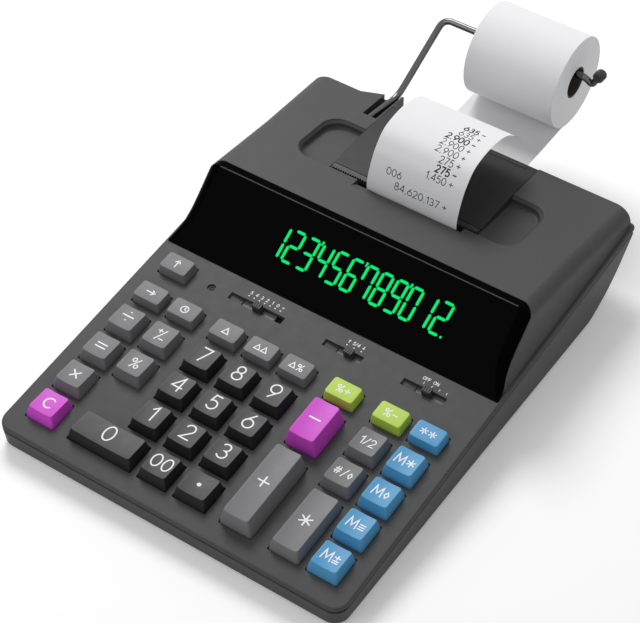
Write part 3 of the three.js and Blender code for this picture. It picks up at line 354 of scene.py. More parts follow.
def lathe(name, profile, steps, matrix):
    """A turned body about Z. The profile runs from the axis back to the axis, or is a closed loop clear of it."""
    verts, rings, faces = [], [], []
    for radius, z in profile:
        points = disc_ring(radius, steps) if radius else [(0, 0)]
        rings.append(range(len(verts), len(verts) + len(points)))
        verts += [(x, y, z) for x, y in points]
    for low, high in zip(rings, rings[1:] + (rings[:1] if profile[0][0] > 0 else [])):
        for i in range(steps):
            j = (i + 1) % steps
            corners = (low[i % len(low)], low[j % len(low)], high[j % len(high)], high[i % len(high)])
            face = tuple(dict.fromkeys(corners))
            if len(face) > 2:
                faces.append(face)
    return mesh_object(name, verts, faces, matrix)


def apply_modifiers(target):
    evaluated = target.evaluated_get(bpy.context.evaluated_depsgraph_get())
    mesh = bpy.data.meshes.new_from_object(evaluated)
    target.modifiers.clear()
    target.data = mesh


def combine(target, others, operation):
    """Adds, cuts or intersects, and removes the other bodies."""
    for other in others:
        step = target.modifiers.new("step", "BOOLEAN")
        step.object = other
        step.operation = operation
        step.solver = "MANIFOLD"
        apply_modifiers(target)
        bpy.data.objects.remove(other)
    return target


def paint(piece, finish):
    piece.data.materials.clear()
    piece.data.materials.append(MATERIALS[finish])


def finish_piece(piece, name, body, finish, replaces=(), sharp=32, flat_faces=True):
    """Shading, material, body, slot and the CAD nodes that the piece stands for."""
    piece.name = name
    piece.data.name = name
    paint(piece, finish)
    for face in piece.data.polygons:
        face.use_smooth = True
        face.material_index = 0
    piece.data.set_sharp_from_angle(angle=radians(sharp))
    if flat_faces:
        weighted = piece.modifiers.new("flat_faces", "WEIGHTED_NORMAL")
        weighted.weight = 100
        weighted.keep_sharp = True
    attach(piece, body)
    if replaces:
        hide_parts(*replaces)
    return piece


# Case

def deck_z(y):
    return DECK_FRONT + y * tan(TILT)


WINDOW_FOOT_Z = deck_z(WINDOW_FOOT)
ROOF_FRONT = WINDOW_FOOT + WINDOW_LENGTH * cos(WINDOW_SLOPE)
ROOF_FRONT_Z = WINDOW_FOOT_Z + WINDOW_LENGTH * sin(WINDOW_SLOPE)


def roof_z(y):
    return ROOF_FRONT_Z - (y - ROOF_FRONT) * tan(ROOF_FALL)


def above_deck(height):
    return lambda y: deck_z(y) + height


def corner_radii(inset):
    return FRONT_CORNER - inset, max(REAR_CORNER - inset, GAP)


def case_outline(draft, rear, inset):
    half = CASE_HALF - draft
    return round_rect(-half, half, draft - CASE_FRONT, rear, corner_radii(inset), CASE_STEPS)


def case_ring(inset, height):
    return at_height(case_outline(inset, CASE_REAR - inset, inset), height)


def quarter(steps):
    """Shares inwards and downwards of a rounded edge, from its side to its top."""
    return [(1 - x, 1 - y) for x, y in arc(0, 0, 1, 1, 0, 90, steps)]


def hood_top(y, front_inward, inward):
    front = WINDOW_FOOT_Z + (y - WINDOW_FOOT) * tan(WINDOW_SLOPE) - front_inward / cos(WINDOW_SLOPE)
    return min(front, roof_z(y) - inward / cos(ROOF_FALL))


def corner_inset(y):
    along = min(y - (CASE_REAR - REAR_CORNER), REAR_CORNER)
    return 0 if along <= 0 else REAR_CORNER - sqrt(REAR_CORNER ** 2 - along ** 2)


def hood_section(y, front_inward, inward, sink):
    top = hood_top(y, front_inward, inward)
    foot = deck_z(y) - sink
    radius = min(SHOULDER, (top - foot) * SHOULDER_SHARE)

    def half_at(z):
        flare = FLARE_WIDTH * exp(-max(z - deck_z(y), -HOOD_SINK) / FLARE_FADE)
        return min(HOOD_HALF + flare, CASE_HALF) - inward - corner_inset(y)

    shares = [0, 0.04, 0.08, 0.13, 0.19, 0.26, 0.34, 0.44, 0.56, 0.7, 0.85, 1]
    side = [(half_at(z), z) for z in [foot + (top - radius - foot) * share for share in shares]]
    side += arc(half_at(top - radius) - radius, top - radius, radius, radius, 0, 90, SHOULDER_STEPS)[1:]
    return [(x, y, z) for x, z in side] + [(-x, y, z) for x, z in reversed(side)]


def hood_body(name, front_inward, inward, sink):
    lift = WALL if inward > 0 else 0
    slope = tan(WINDOW_SLOPE)
    offset = front_inward / cos(WINDOW_SLOPE) - lift
    start = WINDOW_FOOT + offset / (slope - tan(TILT))
    drop = front_inward / cos(WINDOW_SLOPE) - inward / cos(ROOF_FALL)
    crest = ROOF_FRONT + drop / (slope + tan(ROOF_FALL))
    shares = [0, 0.08, 0.15, 0.25, 0.35, 0.5, 0.65, 0.8, 0.9, 1]
    end = CASE_REAR - inward
    corner = CASE_REAR - REAR_CORNER
    rear = [corner + REAR_CORNER * sin(pi / 2 * i / CASE_STEPS) for i in range(CASE_STEPS)]
    places = [start + (crest - start) * share for share in shares] + [(crest + corner) / 2]
    places += [y for y in rear if y < end - 0.01] + [end]
    return loft(name, [hood_section(y, front_inward, inward, sink) for y in places])


def window_point(up, deep):
    """A point of the side view from its distance up the window and its depth behind it."""
    return (
        WINDOW_FOOT + cos(WINDOW_SLOPE) * up + sin(WINDOW_SLOPE) * deep,
        WINDOW_FOOT_Z + sin(WINDOW_SLOPE) * up - cos(WINDOW_SLOPE) * deep,
    )


def window_slab(near, far, foot_lift):
    """Side view of a slab between two depths behind the window, ending foot_lift above the deck."""
    slope = tan(WINDOW_SLOPE - TILT)
    lift = foot_lift / cos(WINDOW_SLOPE - TILT)
    high = WINDOW_LENGTH * 1.2
    return [
        window_point((lift + near) / slope, near), window_point((lift + far) / slope, far),
        window_point(high, far), window_point(high, near),
    ]


def recess_body(name, grow, profile):
    """A body in the recess's outline. The profile gives insets at the sides, insets at the front and heights."""
    rings = []
    for inset, front_inset, height in profile:
        ring = round_rect(
            RECESS_LEFT - grow + inset, RECESS_RIGHT + grow - inset, RECESS_FRONT - grow + front_inset,
            RECESS_REAR + grow - inset, RECESS_RADIUS, CASE_STEPS,
        )
        rings.append(at_height(ring, lambda y, h=height: roof_z(y) + h))
    return loft(name, rings)


def recess_profile():
    """Soft fall from the rim to the floor, softer in front than at the sides."""
    profile = []
    for a in [radians(90 - 15 * i) for i in range(6)]:
        out, up = 1 - cos(a), 1 - sin(a)
        fall = -RECESS_DEPTH + RECESS_SIDE * up + (RECESS_DEPTH - RECESS_SIDE) * up ** 2
        profile.append((RECESS_DRAFT + RECESS_SIDE * out, RECESS_SLOPE * out, fall))
    for a in [radians(15 * i) for i in range(7)]:
        out = -RECESS_LIP * (1 - cos(a))
        profile.append((out, out, -RECESS_LIP * (1 - sin(a))))
    return [*profile, (-RECESS_LIP, -RECESS_LIP, OVERRUN)]


def key_list():
    """All keys with place, size, slot and shape, in the order that holes, caps and domes are made in."""
    def key(name, x, y, slot, shape=TALL_SHAPE, width=KEY_WIDTH, depth=KEY_DEPTH):
        return dict(name="key_" + name, body="k_" + name, x=x, y=y, width=width, depth=depth, slot=slot, **shape)

    digit_x = [DIGIT_BLOCK + n * PITCH_X for n in range(3)]
    sign_x = LEFT_BLOCK + PITCH_X
    total_x = MEMORY_COLUMN - PITCH_X
    tax_x = PLUS_COLUMN + (PLUS_WIDTH - LOW_WIDTH) / 2
    rows = [n * PITCH_Y for n in range(4)]
    keys = [
        key("0", digit_x[0] + KEY_WIDTH - ZERO_WIDTH, rows[0], "digit", width=ZERO_WIDTH),
        key("double_zero", digit_x[1], rows[0], "digit"),
        key("point", digit_x[2], rows[0], "digit", width=POINT_WIDTH),
        *[key(str(n), digit_x[(n - 1) % 3], rows[1 + (n - 1) // 3], "digit") for n in range(1, 10)],
        key("plus", PLUS_COLUMN, rows[0], "large", BIG_SHAPE, PLUS_WIDTH, PLUS_DEPTH),
        key("minus", PLUS_COLUMN, MINUS_FRONT, "magenta", BIG_SHAPE, PLUS_WIDTH, MINUS_DEPTH),
        key("total", total_x, rows[0], "large", depth=TOTAL_DEPTH),
    ]
    for x, front_row, slot, names in (
        (total_x, 2, "function", ("subtotal", "item_average")),
        (MEMORY_COLUMN, 0, "blue", ("memory_plus_minus", "memory_equals", "memory_subtotal", "memory_total")),
        (LEFT_BLOCK, 0, "magenta", ("clear",)),
        (LEFT_BLOCK, 1, "function", ("multiply", "equals", "divide")),
        (sign_x, 2, "function", ("percent", "sign")),
    ):
        keys += [key(name, x, rows[front_row + i], slot) for i, name in enumerate(names)]
    for name, x, y, slot in (
        ("shift", LEFT_BLOCK, FUNCTION_ROW, "function"), ("time", sign_x, FUNCTION_ROW, "function"),
        ("feed", LEFT_BLOCK, FEED_ROW, "function"), ("cost", digit_x[0], FUNCTION_ROW, "function"),
        ("sell", digit_x[1], FUNCTION_ROW, "function"), ("margin", digit_x[2], FUNCTION_ROW, "function"),
        ("tax_plus", tax_x, FUNCTION_ROW, "green"), ("tax_minus", total_x, FUNCTION_ROW, "green"),
        ("grand_total", MEMORY_COLUMN, FUNCTION_ROW, "blue"),
    ):
        keys.append(key(name, x, y, slot, LOW_SHAPE, LOW_WIDTH, LOW_DEPTH))
    return keys


KEYS = key_list()


def notch_bodies(high, far):
    """Cutters of the printer well, of the notch for the paper in its front edge and of the ramp down to it."""
    well = box("well", WELL_LEFT, WELL_RIGHT, WELL_FRONT, far, WELL_FLOOR, high)
    front = WELL_FRONT - NOTCH_DEPTH
    notch = box("notch", NOTCH_LEFT, NOTCH_RIGHT, front, WELL_FRONT + OVERRUN,
                roof_z(WELL_FRONT) - RECESS_DEPTH - WALL - OVERRUN, high)
    start = front - NOTCH_RAMP
    ramp = prism_x("ramp", [
        (start, roof_z(start)),
        *[(start + NOTCH_RAMP * s, roof_z(start + NOTCH_RAMP * s) - NOTCH_RAMP_DEPTH * s * s)
          for s in (0.2, 0.4, 0.6, 0.8, 1)],
        (front + GAP, roof_z(front) - NOTCH_RAMP_DEPTH), (front + GAP, high), (start, high),
    ], NOTCH_LEFT, NOTCH_RIGHT)
    return [well, notch, ramp]


def wire_bodies(high, far):
    """Cutters of the trough and the bore for the wire."""
    knee_y, knee_z = WIRE_KNEE
    under = [z - WIRE_RADIUS - GAP * 2 for z in (WIRE_LEVEL, knee_z)]
    trough = prism_x("trough", [
        (WIRE_BEND, high), (WIRE_BEND, under[0]), (knee_y, under[1]), (far, under[1]), (far, high),
    ], *TROUGH_SIDES)
    bore = prism("bore", disc_ring(WIRE_RADIUS + GAP, 24), 0, BORE_LENGTH,
                 Matrix.Translation((WIRE_X, BORE_FRONT, WIRE_LEVEL)) @ Matrix.Rotation(-pi / 2, 4, "X"))
    return [trough, bore]


def make_upper_case():
    edge = [case_ring(DECK_EDGE * i, above_deck(-DECK_EDGE * d)) for i, d in quarter(8)]
    groove = [case_ring(GROOVE, above_deck(-PARTING)), case_ring(0, above_deck(-PARTING + GROOVE))]
    shell = loft("upper", [*groove, *edge])
    combine(shell, [hood_body("hood", 0, 0, HOOD_SINK)], "UNION")
    wide = CASE_HALF + OVERRUN
    pocket = prism_x("pocket", window_slab(-WINDOW_LENGTH, WINDOW_THICKNESS + GAP, 0), -wide, wide)
    cavity = loft("cavity", [
        case_ring(WALL, above_deck(-PARTING - OVERRUN)), case_ring(WALL, above_deck(-WALL - INNER_CORNER)),
        case_ring(WALL + INNER_CORNER, above_deck(-WALL)),
    ])
    attic = hood_body("attic", WINDOW_THICKNESS + GAP + WALL, WALL, PARTING + OVERRUN)
    combine(shell, [pocket, cavity, attic], "DIFFERENCE")
    well_rear = CASE_REAR - GAP
    tray = recess_body("tray", WALL, [(0, 0, -RECESS_DEPTH - WALL), (0, 0, -WALL / 2)])
    walls = [
        prism("well_wall", round_rect(x0, x1, y0, well_rear, GAP, 2), WELL_FLOOR, lambda y: roof_z(y) - WALL / 2)
        for x0, x1, y0 in ((WELL_LEFT - WALL, WELL_LEFT, RECESS_REAR), (WELL_RIGHT, WELL_RIGHT + WALL, RECESS_FRONT))
    ]
    combine(shell, [tray, *walls, prism("boss", BOSS, BOSS_FLOOR, roof_z)], "UNION")
    high = ROOF_FRONT_Z + WINDOW_LENGTH
    far = CASE_REAR + WINDOW_LENGTH
    (low_up, high_up), (left, right) = TUBE_OPENING
    deep = WINDOW_THICKNESS * 3
    opening = prism_x("opening", [
        window_point(low_up, 0), window_point(low_up, deep), window_point(high_up, deep), window_point(high_up, 0),
    ], left, right)
    recess = recess_body("recess", 0, recess_profile())
    combine(shell, [recess, *notch_bodies(high, far), *wire_bodies(high, far), opening], "DIFFERENCE")
    c = KEY_CLEARANCE
    for key in KEYS:
        x0, x1, y0, y1 = key["x"] - c, key["x"] + key["width"] + c, key["y"] - c, key["y"] + key["depth"] + c
        combine(shell, [hole_cutter(x0, x1, y0, y1, 0.5)], "DIFFERENCE")
    sides = (SWITCH_ROW - SWITCH_SLOT / 2, SWITCH_ROW + SWITCH_SLOT / 2)
    for left, right, _ in SWITCHES.values():
        combine(shell, [hole_cutter(left, right, *sides, 0.4)], "DIFFERENCE")
        start = left - SIDE_RECESS
        profile = [
            (start, 0), (start, OVERRUN), (left + GAP, OVERRUN), (left + GAP, -SIDE_RECESS_DEPTH),
            (start + SIDE_RECESS_RISE, -SIDE_RECESS_DEPTH * 0.7),
        ]
        rings = [[(x, y, z) for x, z in profile] for y in sides]
        combine(shell, [loft("side_recess", rings, matrix=ON_DECK)], "DIFFERENCE")
    reset = ON_DECK @ Matrix.Translation((*RESET, 0))
    cup = prism("cup", disc_ring(RESET_CUP, 32), -1, OVERRUN, reset)
    hole = prism("cup_hole", disc_ring(RESET_HOLE, 24), -WALL - OVERRUN, OVERRUN, reset)
    return combine(shell, [cup, hole], "DIFFERENCE")


def hole_cutter(x0, x1, y0, y1, corner):
    """A hole through the deck with a slightly broken upper edge."""
    edge = 0.18
    rings = [
        at_height(round_rect(x0 - grow, x1 + grow, y0 - grow, y1 + grow, corner + grow, 2), height)
        for grow, height in [(0, -WALL - OVERRUN), (0, -edge), (edge, 0), (edge + OVERRUN / 4, OVERRUN / 4)]
    ]
    return loft("hole", rings, matrix=ON_DECK)


upper = make_upper_case()
upper.data.transform(DESIGN)
finish_piece(upper, "upper_case_shell", "case", "body", ["upper_case"], sharp=28)

window = hood_body("window", 0, 0, HOOD_SINK)
combine(window, [prism_x("slab", window_slab(0, WINDOW_THICKNESS, GAP), -CASE_HALF, CASE_HALF)], "INTERSECT")
window.data.transform(DESIGN)
finish_piece(window, "display_window_panel", "case", "window", ["display_window"], sharp=28)
# A thin grey rod along the window's top edge is a painted highlight on the black panel's edge.
edge_y, edge_z = window_point(WINDOW_LENGTH - 0.5, 0.25)
window_highlight_line = loft("window_highlight_line", [
    [(x, edge_y + u, edge_z + v) for u, v in disc_ring(0.4, 12)]
    for x in (-HOOD_HALF + SHOULDER, 0, HOOD_HALF - SHOULDER)
], matrix=DESIGN)
finish_piece(window_highlight_line, "display_window_painted_highlight", "case", "body", sharp=60, flat_faces=False)


# Lower case

TUB_SHARES = [(0, 0), (0.12, 0.08), (0.25, 0.17), (0.38, 0.26), (0.5, 0.35), (0.62, 0.46), (0.75, 0.6), (0.87, 0.78),
              (0.95, 0.92), (1, 1)]


def tub_ring(deep, back, inset=0, tuck=0):
    """A ring of the lower case at a share of its depth, drawn in at the rear by a share of the undercut."""
    draft = LOWER_DRAFT * deep + inset + tuck
    ring = case_outline(draft, CASE_REAR - inset - UNDERCUT * back - tuck, inset)
    points = []
    for (x, y), (_, full_y) in zip(ring, case_outline(draft, CASE_REAR - inset, inset)):
        rim = deck_z(full_y) - PARTING - GAP
        points.append((x, y, rim + (FOOT_HEIGHT + inset - rim) * deep))
    return points


def make_lower_case():
    rings = [tub_ring(0, 0, 0, 0.5), tub_ring(0.03, 0.02), *[tub_ring(*shares) for shares in TUB_SHARES[1:-1]]]
    for inward, down in reversed(quarter(4)):
        ring = tub_ring(1, 1, 0, BOTTOM_EDGE * down)
        rings.append([(x, y, z + BOTTOM_EDGE * inward) for x, y, z in ring])
    tub = loft("tub", rings[::-1])
    inner = [tub_ring(*shares, WALL) for shares in TUB_SHARES]
    inner.insert(0, [(x, y, z + OVERRUN) for x, y, z in inner[0]])
    combine(tub, [loft("hollow", inner[::-1])], "DIFFERENCE")

    def band(inset, low, high):
        return loft("band", [case_ring(inset, above_deck(low)), case_ring(inset, above_deck(high))])

    lip_top = -WALL - GAP
    lip_foot = -PARTING - GAP
    combine(tub, [band(WALL / 2, lip_foot - WALL, lip_foot), band(WALL + GAP, lip_foot - WALL, lip_top)], "UNION")
    combine(tub, [band(WALL + GAP + LIP_THICKNESS, lip_foot - WALL - OVERRUN, lip_top + OVERRUN)], "DIFFERENCE")
    inlet_x, inlet_z = INLET
    inlet = prism("inlet", disc_ring(INLET_RADIUS, 32), -UNDERCUT / 2, UNDERCUT / 2,
                  Matrix.Translation((inlet_x, CASE_REAR, inlet_z)) @ Matrix.Rotation(-pi / 2, 4, "X"))
    half = FOOT_HALF + GAP
    seats = [prism("seat", round_rect(-half, half, y - GAP, y + FOOT_DEPTH + GAP, 4, 6), FOOT_HEIGHT - OVERRUN,
                   FOOT_HEIGHT + FOOT_INLAY + GAP) for y in FOOT_STRIPS]
    return combine(tub, [inlet, *seats], "DIFFERENCE")


lower = make_lower_case()
lower.data.transform(DESIGN)
finish_piece(lower, "lower_case_tub", "case", "lower", ["lower_case"], sharp=28)


# Keys

def key_top(key, x, y):
    """Height of the key's top over the deck."""
    across = (x - key["x"] - key["width"] / 2) / (key["width"] / 2)
    back = (y - key["y"]) / key["depth"]
    return key["height"] - key["drop"] * back - key["dish"] * (1 - across * across)


def make_key(key):
    """A cap from the flange under the deck up to the dished top."""
    corner_steps, middle_steps = 7, 12
    x, y, width, depth = key["x"], key["y"], key["width"], key["depth"]
    side, front, rear, drop, dish = [key[label] for label in ("side", "front", "rear", "drop", "dish")]
    middle = x + width / 2

    def ring(grow, share, rim, fall, sag):
        """fall gives the height from the share of the depth, and sag is the dish's depth in this ring."""
        x0, x1 = x - grow + side * share + rim, x + width + grow - side * share - rim
        y0, y1 = y - grow + front * share + rim, y + depth + grow - rear * share - rim
        corner = KEY_CORNER + max(grow, 0) + share * 0.3 - rim * 0.35
        points = round_rect(x0, x1, y0, y1, corner, corner_steps)
        per = corner_steps + 1
        span = [(x1 - x0 - 2 * corner) * ((i + 1) / (middle_steps + 1)) for i in range(middle_steps)]
        low, high = [(x0 + corner + s, y0) for s in span], [(x1 - corner - s, y1) for s in span]
        full = points[:per] + low + points[per:3 * per] + high + points[3 * per:]
        across = [(px - middle) / (width / 2) for px, _ in full]
        return [(px, py, fall((py - y) / depth) - sag * (1 - s * s)) for (px, py), s in zip(full, across)]

    flange_top = -WALL - GAP
    foot = [(KEY_FLANGE, flange_top - KEY_FLANGE_THICKNESS), (KEY_FLANGE, flange_top), (0, flange_top), (0, 0)]
    rings = [ring(grow, 0, 0, lambda b, z=z: z, 0) for grow, z in foot]
    for share in (0.25, 0.5, 0.75):
        bow = share - 0.06 * sin(pi * share)
        rings.append(ring(0, bow, 0, lambda b, s=share: (key["height"] - KEY_RIM - drop * b) * s, dish * share))
    for inward, down in quarter(5):
        rings.append(ring(0, 1, KEY_RIM * inward, lambda b, d=down: key["height"] - drop * b - KEY_RIM * d, dish))
    count = len(rings[0])
    caps = [(i, i + 1, count - 2 - i, count - 1 - i) for i in range(count // 2 - 1)]
    return loft(key["name"], rings, caps, DECK)


for key in KEYS:
    cap = make_key(key)
    finish_piece(cap, key["name"] + "_cap", key["body"], key["slot"], [key["name"]], sharp=40,
                 flat_faces=False)
    # Steep faces of the digit caps take the darker copy: painted shade on the sides, beside the painted sheen of the
    # tops.
    if key["slot"] == "digit":
        cap.data.materials.append(MATERIALS["digit_shaded_side"])
        for face in cap.data.polygons:
            face.material_index = 1 if face.normal.z < 0.8 else 0


# Thin strokes for legends, printed figures and marks

GLYPHS = {
    "0": (0.62, [arc(0.31, 0.5, 0.31, 0.5, 90, 450, 28)]),
    "1": (0.3, [[(0, 0.74), (0.26, 1), (0.26, 0)]]),
    "2": (0.56, [arc(0.28, 0.72, 0.27, 0.28, 165, -38) + [(0.0, 0), (0.57, 0)]]),
    "3": (0.54, [arc(0.25, 0.76, 0.24, 0.24, 150, -90) + arc(0.26, 0.26, 0.28, 0.26, 90, -150)]),
    "4": (0.62, [[(0.47, 0), (0.47, 1), (0, 0.28), (0.64, 0.28)]]),
    "5": (0.55, [[(0.5, 1), (0.12, 1)] + arc(0.25, 0.32, 0.3, 0.32, 130, -145)]),
    "6": (0.6, [arc(0.3, 0.31, 0.3, 0.31, 150, 510, 28), [(0.44, 1), (0.05, 0.46)]]),
    "7": (0.56, [[(0, 1), (0.56, 1), (0.16, 0)]]),
    "8": (0.58, [arc(0.29, 0.765, 0.225, 0.235, 90, 450, 24), arc(0.29, 0.265, 0.29, 0.265, 90, 450, 24)]),
    "9": (0.6, [arc(0.3, 0.69, 0.3, 0.31, -30, 330, 28), [(0.16, 0), (0.55, 0.54)]]),
    ".": (0.1, [[(0.04, 0.03), (0.06, 0.03)]]),
    ",": (0.12, [[(0.08, 0.06), (0.02, -0.12)]]),
    "+": (0.6, [[(0, 0.5), (0.6, 0.5)], [(0.3, 0.2), (0.3, 0.8)]]),
    "-": (0.56, [[(0, 0.5), (0.56, 0.5)]]),
    "x": (0.52, [[(0, 0.24), (0.52, 0.76)], [(0, 0.76), (0.52, 0.24)]]),
    "/": (0.4, [[(0, 0), (0.4, 1)]]),
    ":": (0.7, [[(0, 0.5), (0.7, 0.5)], [(0.34, 0.82), (0.36, 0.82)], [(0.34, 0.18), (0.36, 0.18)]]),
    "=": (0.7, [[(0, 0.65), (0.7, 0.65)], [(0, 0.35), (0.7, 0.35)]]),
    "%": (0.8, [arc(0.17, 0.78, 0.16, 0.18, 0, 360, 20), arc(0.63, 0.22, 0.16, 0.18, 0, 360, 20),
                [(0.12, 0), (0.68, 1)]]),
    "*": (0.7, [[(0.35, 0.12), (0.35, 0.88)], [(0.02, 0.31), (0.68, 0.69)], [(0.02, 0.69), (0.68, 0.31)]]),
    "#": (0.64, [[(0.14, 0.1), (0.26, 0.9)], [(0.38, 0.1), (0.5, 0.9)], [(0.02, 0.36), (0.58, 0.36)],
                 [(0.06, 0.64), (0.62, 0.64)]]),
    "o": (0.4, [[(0.2, 0.12), (0.4, 0.44), (0.2, 0.76), (0, 0.44), (0.2, 0.12)]]),
    "M": (0.84, [[(0, 0), (0.1, 1), (0.42, 0.22), (0.74, 1), (0.84, 0)]]),
    "C": (0.8, [arc(0.46, 0.5, 0.46, 0.5, 48, 312, 24)]),
    ">": (0.9, [[(0, 0.5), (0.86, 0.5)], [(0.56, 0.76), (0.88, 0.5), (0.56, 0.24)]]),
    "^": (0.56, [[(0.28, 0), (0.28, 0.94)], [(0, 0.62), (0.28, 0.96), (0.56, 0.62)]]),
    "_": (0.56, [[(0.28, 1), (0.28, 0.06)], [(0, 0.38), (0.28, 0.04), (0.56, 0.38)]]),
    "s": (0.62, [[(0, 0.78), (0.26, 0.78)], [(0.13, 0.65), (0.13, 0.91)], [(0.12, 0.06), (0.5, 0.94)],
                 [(0.38, 0.2), (0.64, 0.2)]]),
    "e": (0.5, [[(0, 0.66), (0.5, 0.66)], [(0, 0.42), (0.5, 0.42)], [(0, 0.18), (0.5, 0.18)]]),
    "t": (0.5, [[(0, 0.66), (0.5, 0.66)], [(0.25, 0.46), (0.25, 0.86)], [(0, 0.3), (0.5, 0.3)],
                [(0, 0.1), (0.5, 0.1)]]),
    "c": (0.8, [arc(0.4, 0.5, 0.4, 0.4, 0, 360, 26), [(0.4, 0.74), (0.4, 0.5), (0.58, 0.4)]]),
    "d": (0.76, [[(0, 0.1), (0.38, 0.86), (0.76, 0.1), (0, 0.1)]]),
    "O": (0.76, [arc(0.38, 0.5, 0.38, 0.5, 90, 450, 26)]),
    "N": (0.62, [[(0, 0), (0, 1), (0.62, 0), (0.62, 1)]]),
    "F": (0.5, [[(0, 0), (0, 1), (0.5, 1)], [(0, 0.52), (0.42, 0.52)]]),
}
LETTER_GAP = 0.22


def text_width(text, size):
    return size * (sum(GLYPHS[c][0] for c in text) + LETTER_GAP * (len(text) - 1))


def text_strokes(text, cx, cy, size):
    """Strokes of a line of figures centred on a point."""
    strokes = []
    pen = cx - text_width(text, size) / 2
    for c in text:
        width, shapes = GLYPHS[c]
        strokes += [[(pen + px * size, cy + (py - 0.5) * size) for px, py in shape] for shape in shapes]
        pen += (width + LETTER_GAP) * size
    return strokes


def divided(points, most):
    """The same line with no step longer than most."""
    made = [points[0]]
    for (x0, y0), (x1, y1) in zip(points, points[1:]):
        count = max(1, ceil(hypot(x1 - x0, y1 - y0) / most))
        made.extend((x0 + (x1 - x0) * i / count, y0 + (y1 - y0) * i / count) for i in range(1, count + 1))
    return made


def stroke_outline(points, half, most):
    """Left and right edges of a stroke with mitred corners, and whether it's closed."""
    closed = dist(points[0], points[-1]) < 1e-6
    path = divided(points, most)
    last = len(path) - 1
    left, right = [], []
    for i, (x, y) in enumerate(path):
        before, after = (i - 1) % last if closed else max(i - 1, 0), (i + 1) % last if closed else min(i + 1, last)
        a = Vector((x - path[before][0], y - path[before][1]))
        b = Vector((path[after][0] - x, path[after][1] - y))
        a = a.normalized() if a.length > 1e-9 else b.normalized()
        b = b.normalized() if b.length > 1e-9 else a
        way = (a + b).normalized() if (a + b).length > 1e-6 else a
        reach = half / max(way.dot(a), 0.35)
        left.append((x - way.y * reach, y + way.x * reach))
        right.append((x + way.y * reach, y - way.x * reach))
    return left, right, closed


def round_end(left, right, half, end):
    """Points of a round end from the left edge to the right one. end is 0 for the start and -1 for the end."""
    beside, turn = (1, 1) if end == 0 else (-2, -1)
    (cx, cy), (ox, oy) = [
        ((left[k][0] + right[k][0]) / 2, (left[k][1] + right[k][1]) / 2) for k in (end, beside)
    ]
    outward = atan2(cy - oy, cx - ox)
    angles = [outward + turn * radians(d) for d in (-60, -30, 0, 30, 60)]
    return [(cx + half * cos(a), cy + half * sin(a)) for a in angles]


def stroke_body(strokes, half, lift, thickness, name, matrix, most=0.6, round_ends=True):
    """Thin solid strokes laid on a surface; lift gives the surface's height at a point."""
    verts, faces = [], []

    def add(x, y, high):
        verts.append((x, y, lift(x, y) + (thickness if high else -thickness)))
        return len(verts) - 1

    for points in strokes:
        left, right, closed = stroke_outline(points, half, most)
        top, low = [[(add(*a, high), add(*b, high)) for a, b in zip(left, right)] for high in (True, False)]
        if closed:
            top[-1], low[-1] = top[0], low[0]
        faces += [(a, b, d, c) for (a, b), (c, d) in zip(top, top[1:])]
        faces += [(a, c, d, b) for (a, b), (c, d) in zip(low, low[1:])]
        for side in (0, 1):
            for i in range(len(top) - 1):
                faces.append((top[i][side], low[i][side], low[i + 1][side], top[i + 1][side]))
        for end in () if closed else (0, -1):
            bow = round_end(left, right, half, end) if round_ends else []
            over, under = [
                [pair[0], *[add(*p, high) for p in bow], pair[1]]
                for pair, high in ((top[end], True), (low[end], False))
            ]
            if bow:
                faces += [tuple(over), tuple(under[::-1])]
            faces += [(over[i], under[i], under[i + 1], over[i + 1]) for i in range(len(over) - 1)]
    return mesh_object(name, verts, faces, matrix)


def plain_finish(piece, name, body, finish):
    return finish_piece(piece, name, body, finish, sharp=30, flat_faces=False)


# Each key's marks: text, size, half width of the stroke, and how far behind and right of the key top's middle
LEGENDS = {
    "double_zero": ("00", 7.9, 0.4, 0.9), "point": (".", 7.4, 1.15, 3.6, 0.2), "plus": ("+", 10.4, 0.44, 0.8),
    "minus": ("-", 11.0, 0.46, 0.6), "total": ("*", 8.8, 0.42), "clear": ("C", 6.4, 0.4),
    "multiply": ("x", 8.4, 0.42), "equals": ("=", 8.4, 0.42), "divide": (":", 9.5, 0.42, 1.2),
    "percent": ("%", 6.6, 0.34), "sign": ("s", 9.0, 0.34), "subtotal": ("#/o", 5.4, 0.3),
    "item_average": ("1/2", 4.8, 0.3), "memory_total": ("M*", 6.0, 0.34), "memory_subtotal": ("Mo", 6.0, 0.34),
    "memory_equals": ("Me", 6.0, 0.34), "memory_plus_minus": ("Mt", 6.0, 0.34), "shift": (">", 5.8, 0.38),
    "feed": ("^", 5.2, 0.36), "time": ("c", 5.4, 0.32), "cost": ("d", 5.0, 0.32), "sell": ("dd", 4.4, 0.3),
    "margin": ("d%", 4.4, 0.3), "tax_plus": ("%+", 4.8, 0.3), "tax_minus": ("%-", 4.8, 0.3),
    "grand_total": ("**", 5.4, 0.3), **{str(n): (str(n), 9.5, 0.42, 1.2) for n in range(10)},
}


def draw_legend(key, text, size, half, behind=0, right=0):
    middle_x = key["x"] + key["width"] / 2
    middle_y = key["y"] + (key["depth"] + key["front"] - key["rear"]) / 2
    strokes = text_strokes(text, middle_x + right, middle_y + behind, size)
    mark = stroke_body(strokes, half, lambda x, y: key_top(key, x, y), INK_THICKNESS, "mark", DECK)
    plain_finish(mark, key["name"] + "_legend", key["body"], "print")


for key in KEYS:
    draw_legend(key, *LEGENDS[key["body"][2:]])


# Switch knobs, their scales and the reset button

def rounded_block(name, x0, x1, y0, y1, z0, z1, radius, edge, matrix):
    rings = [at_height(round_rect(x0, x1, y0, y1, radius, 4), z0)]
    for inward, down in quarter(4):
        inset = edge * inward
        ring = round_rect(x0 + inset, x1 - inset, y0 + inset, y1 - inset, radius - inset * 0.5, 4)
        rings.append(at_height(ring, z1 - edge * down))
    return loft(name, rings, matrix=matrix)


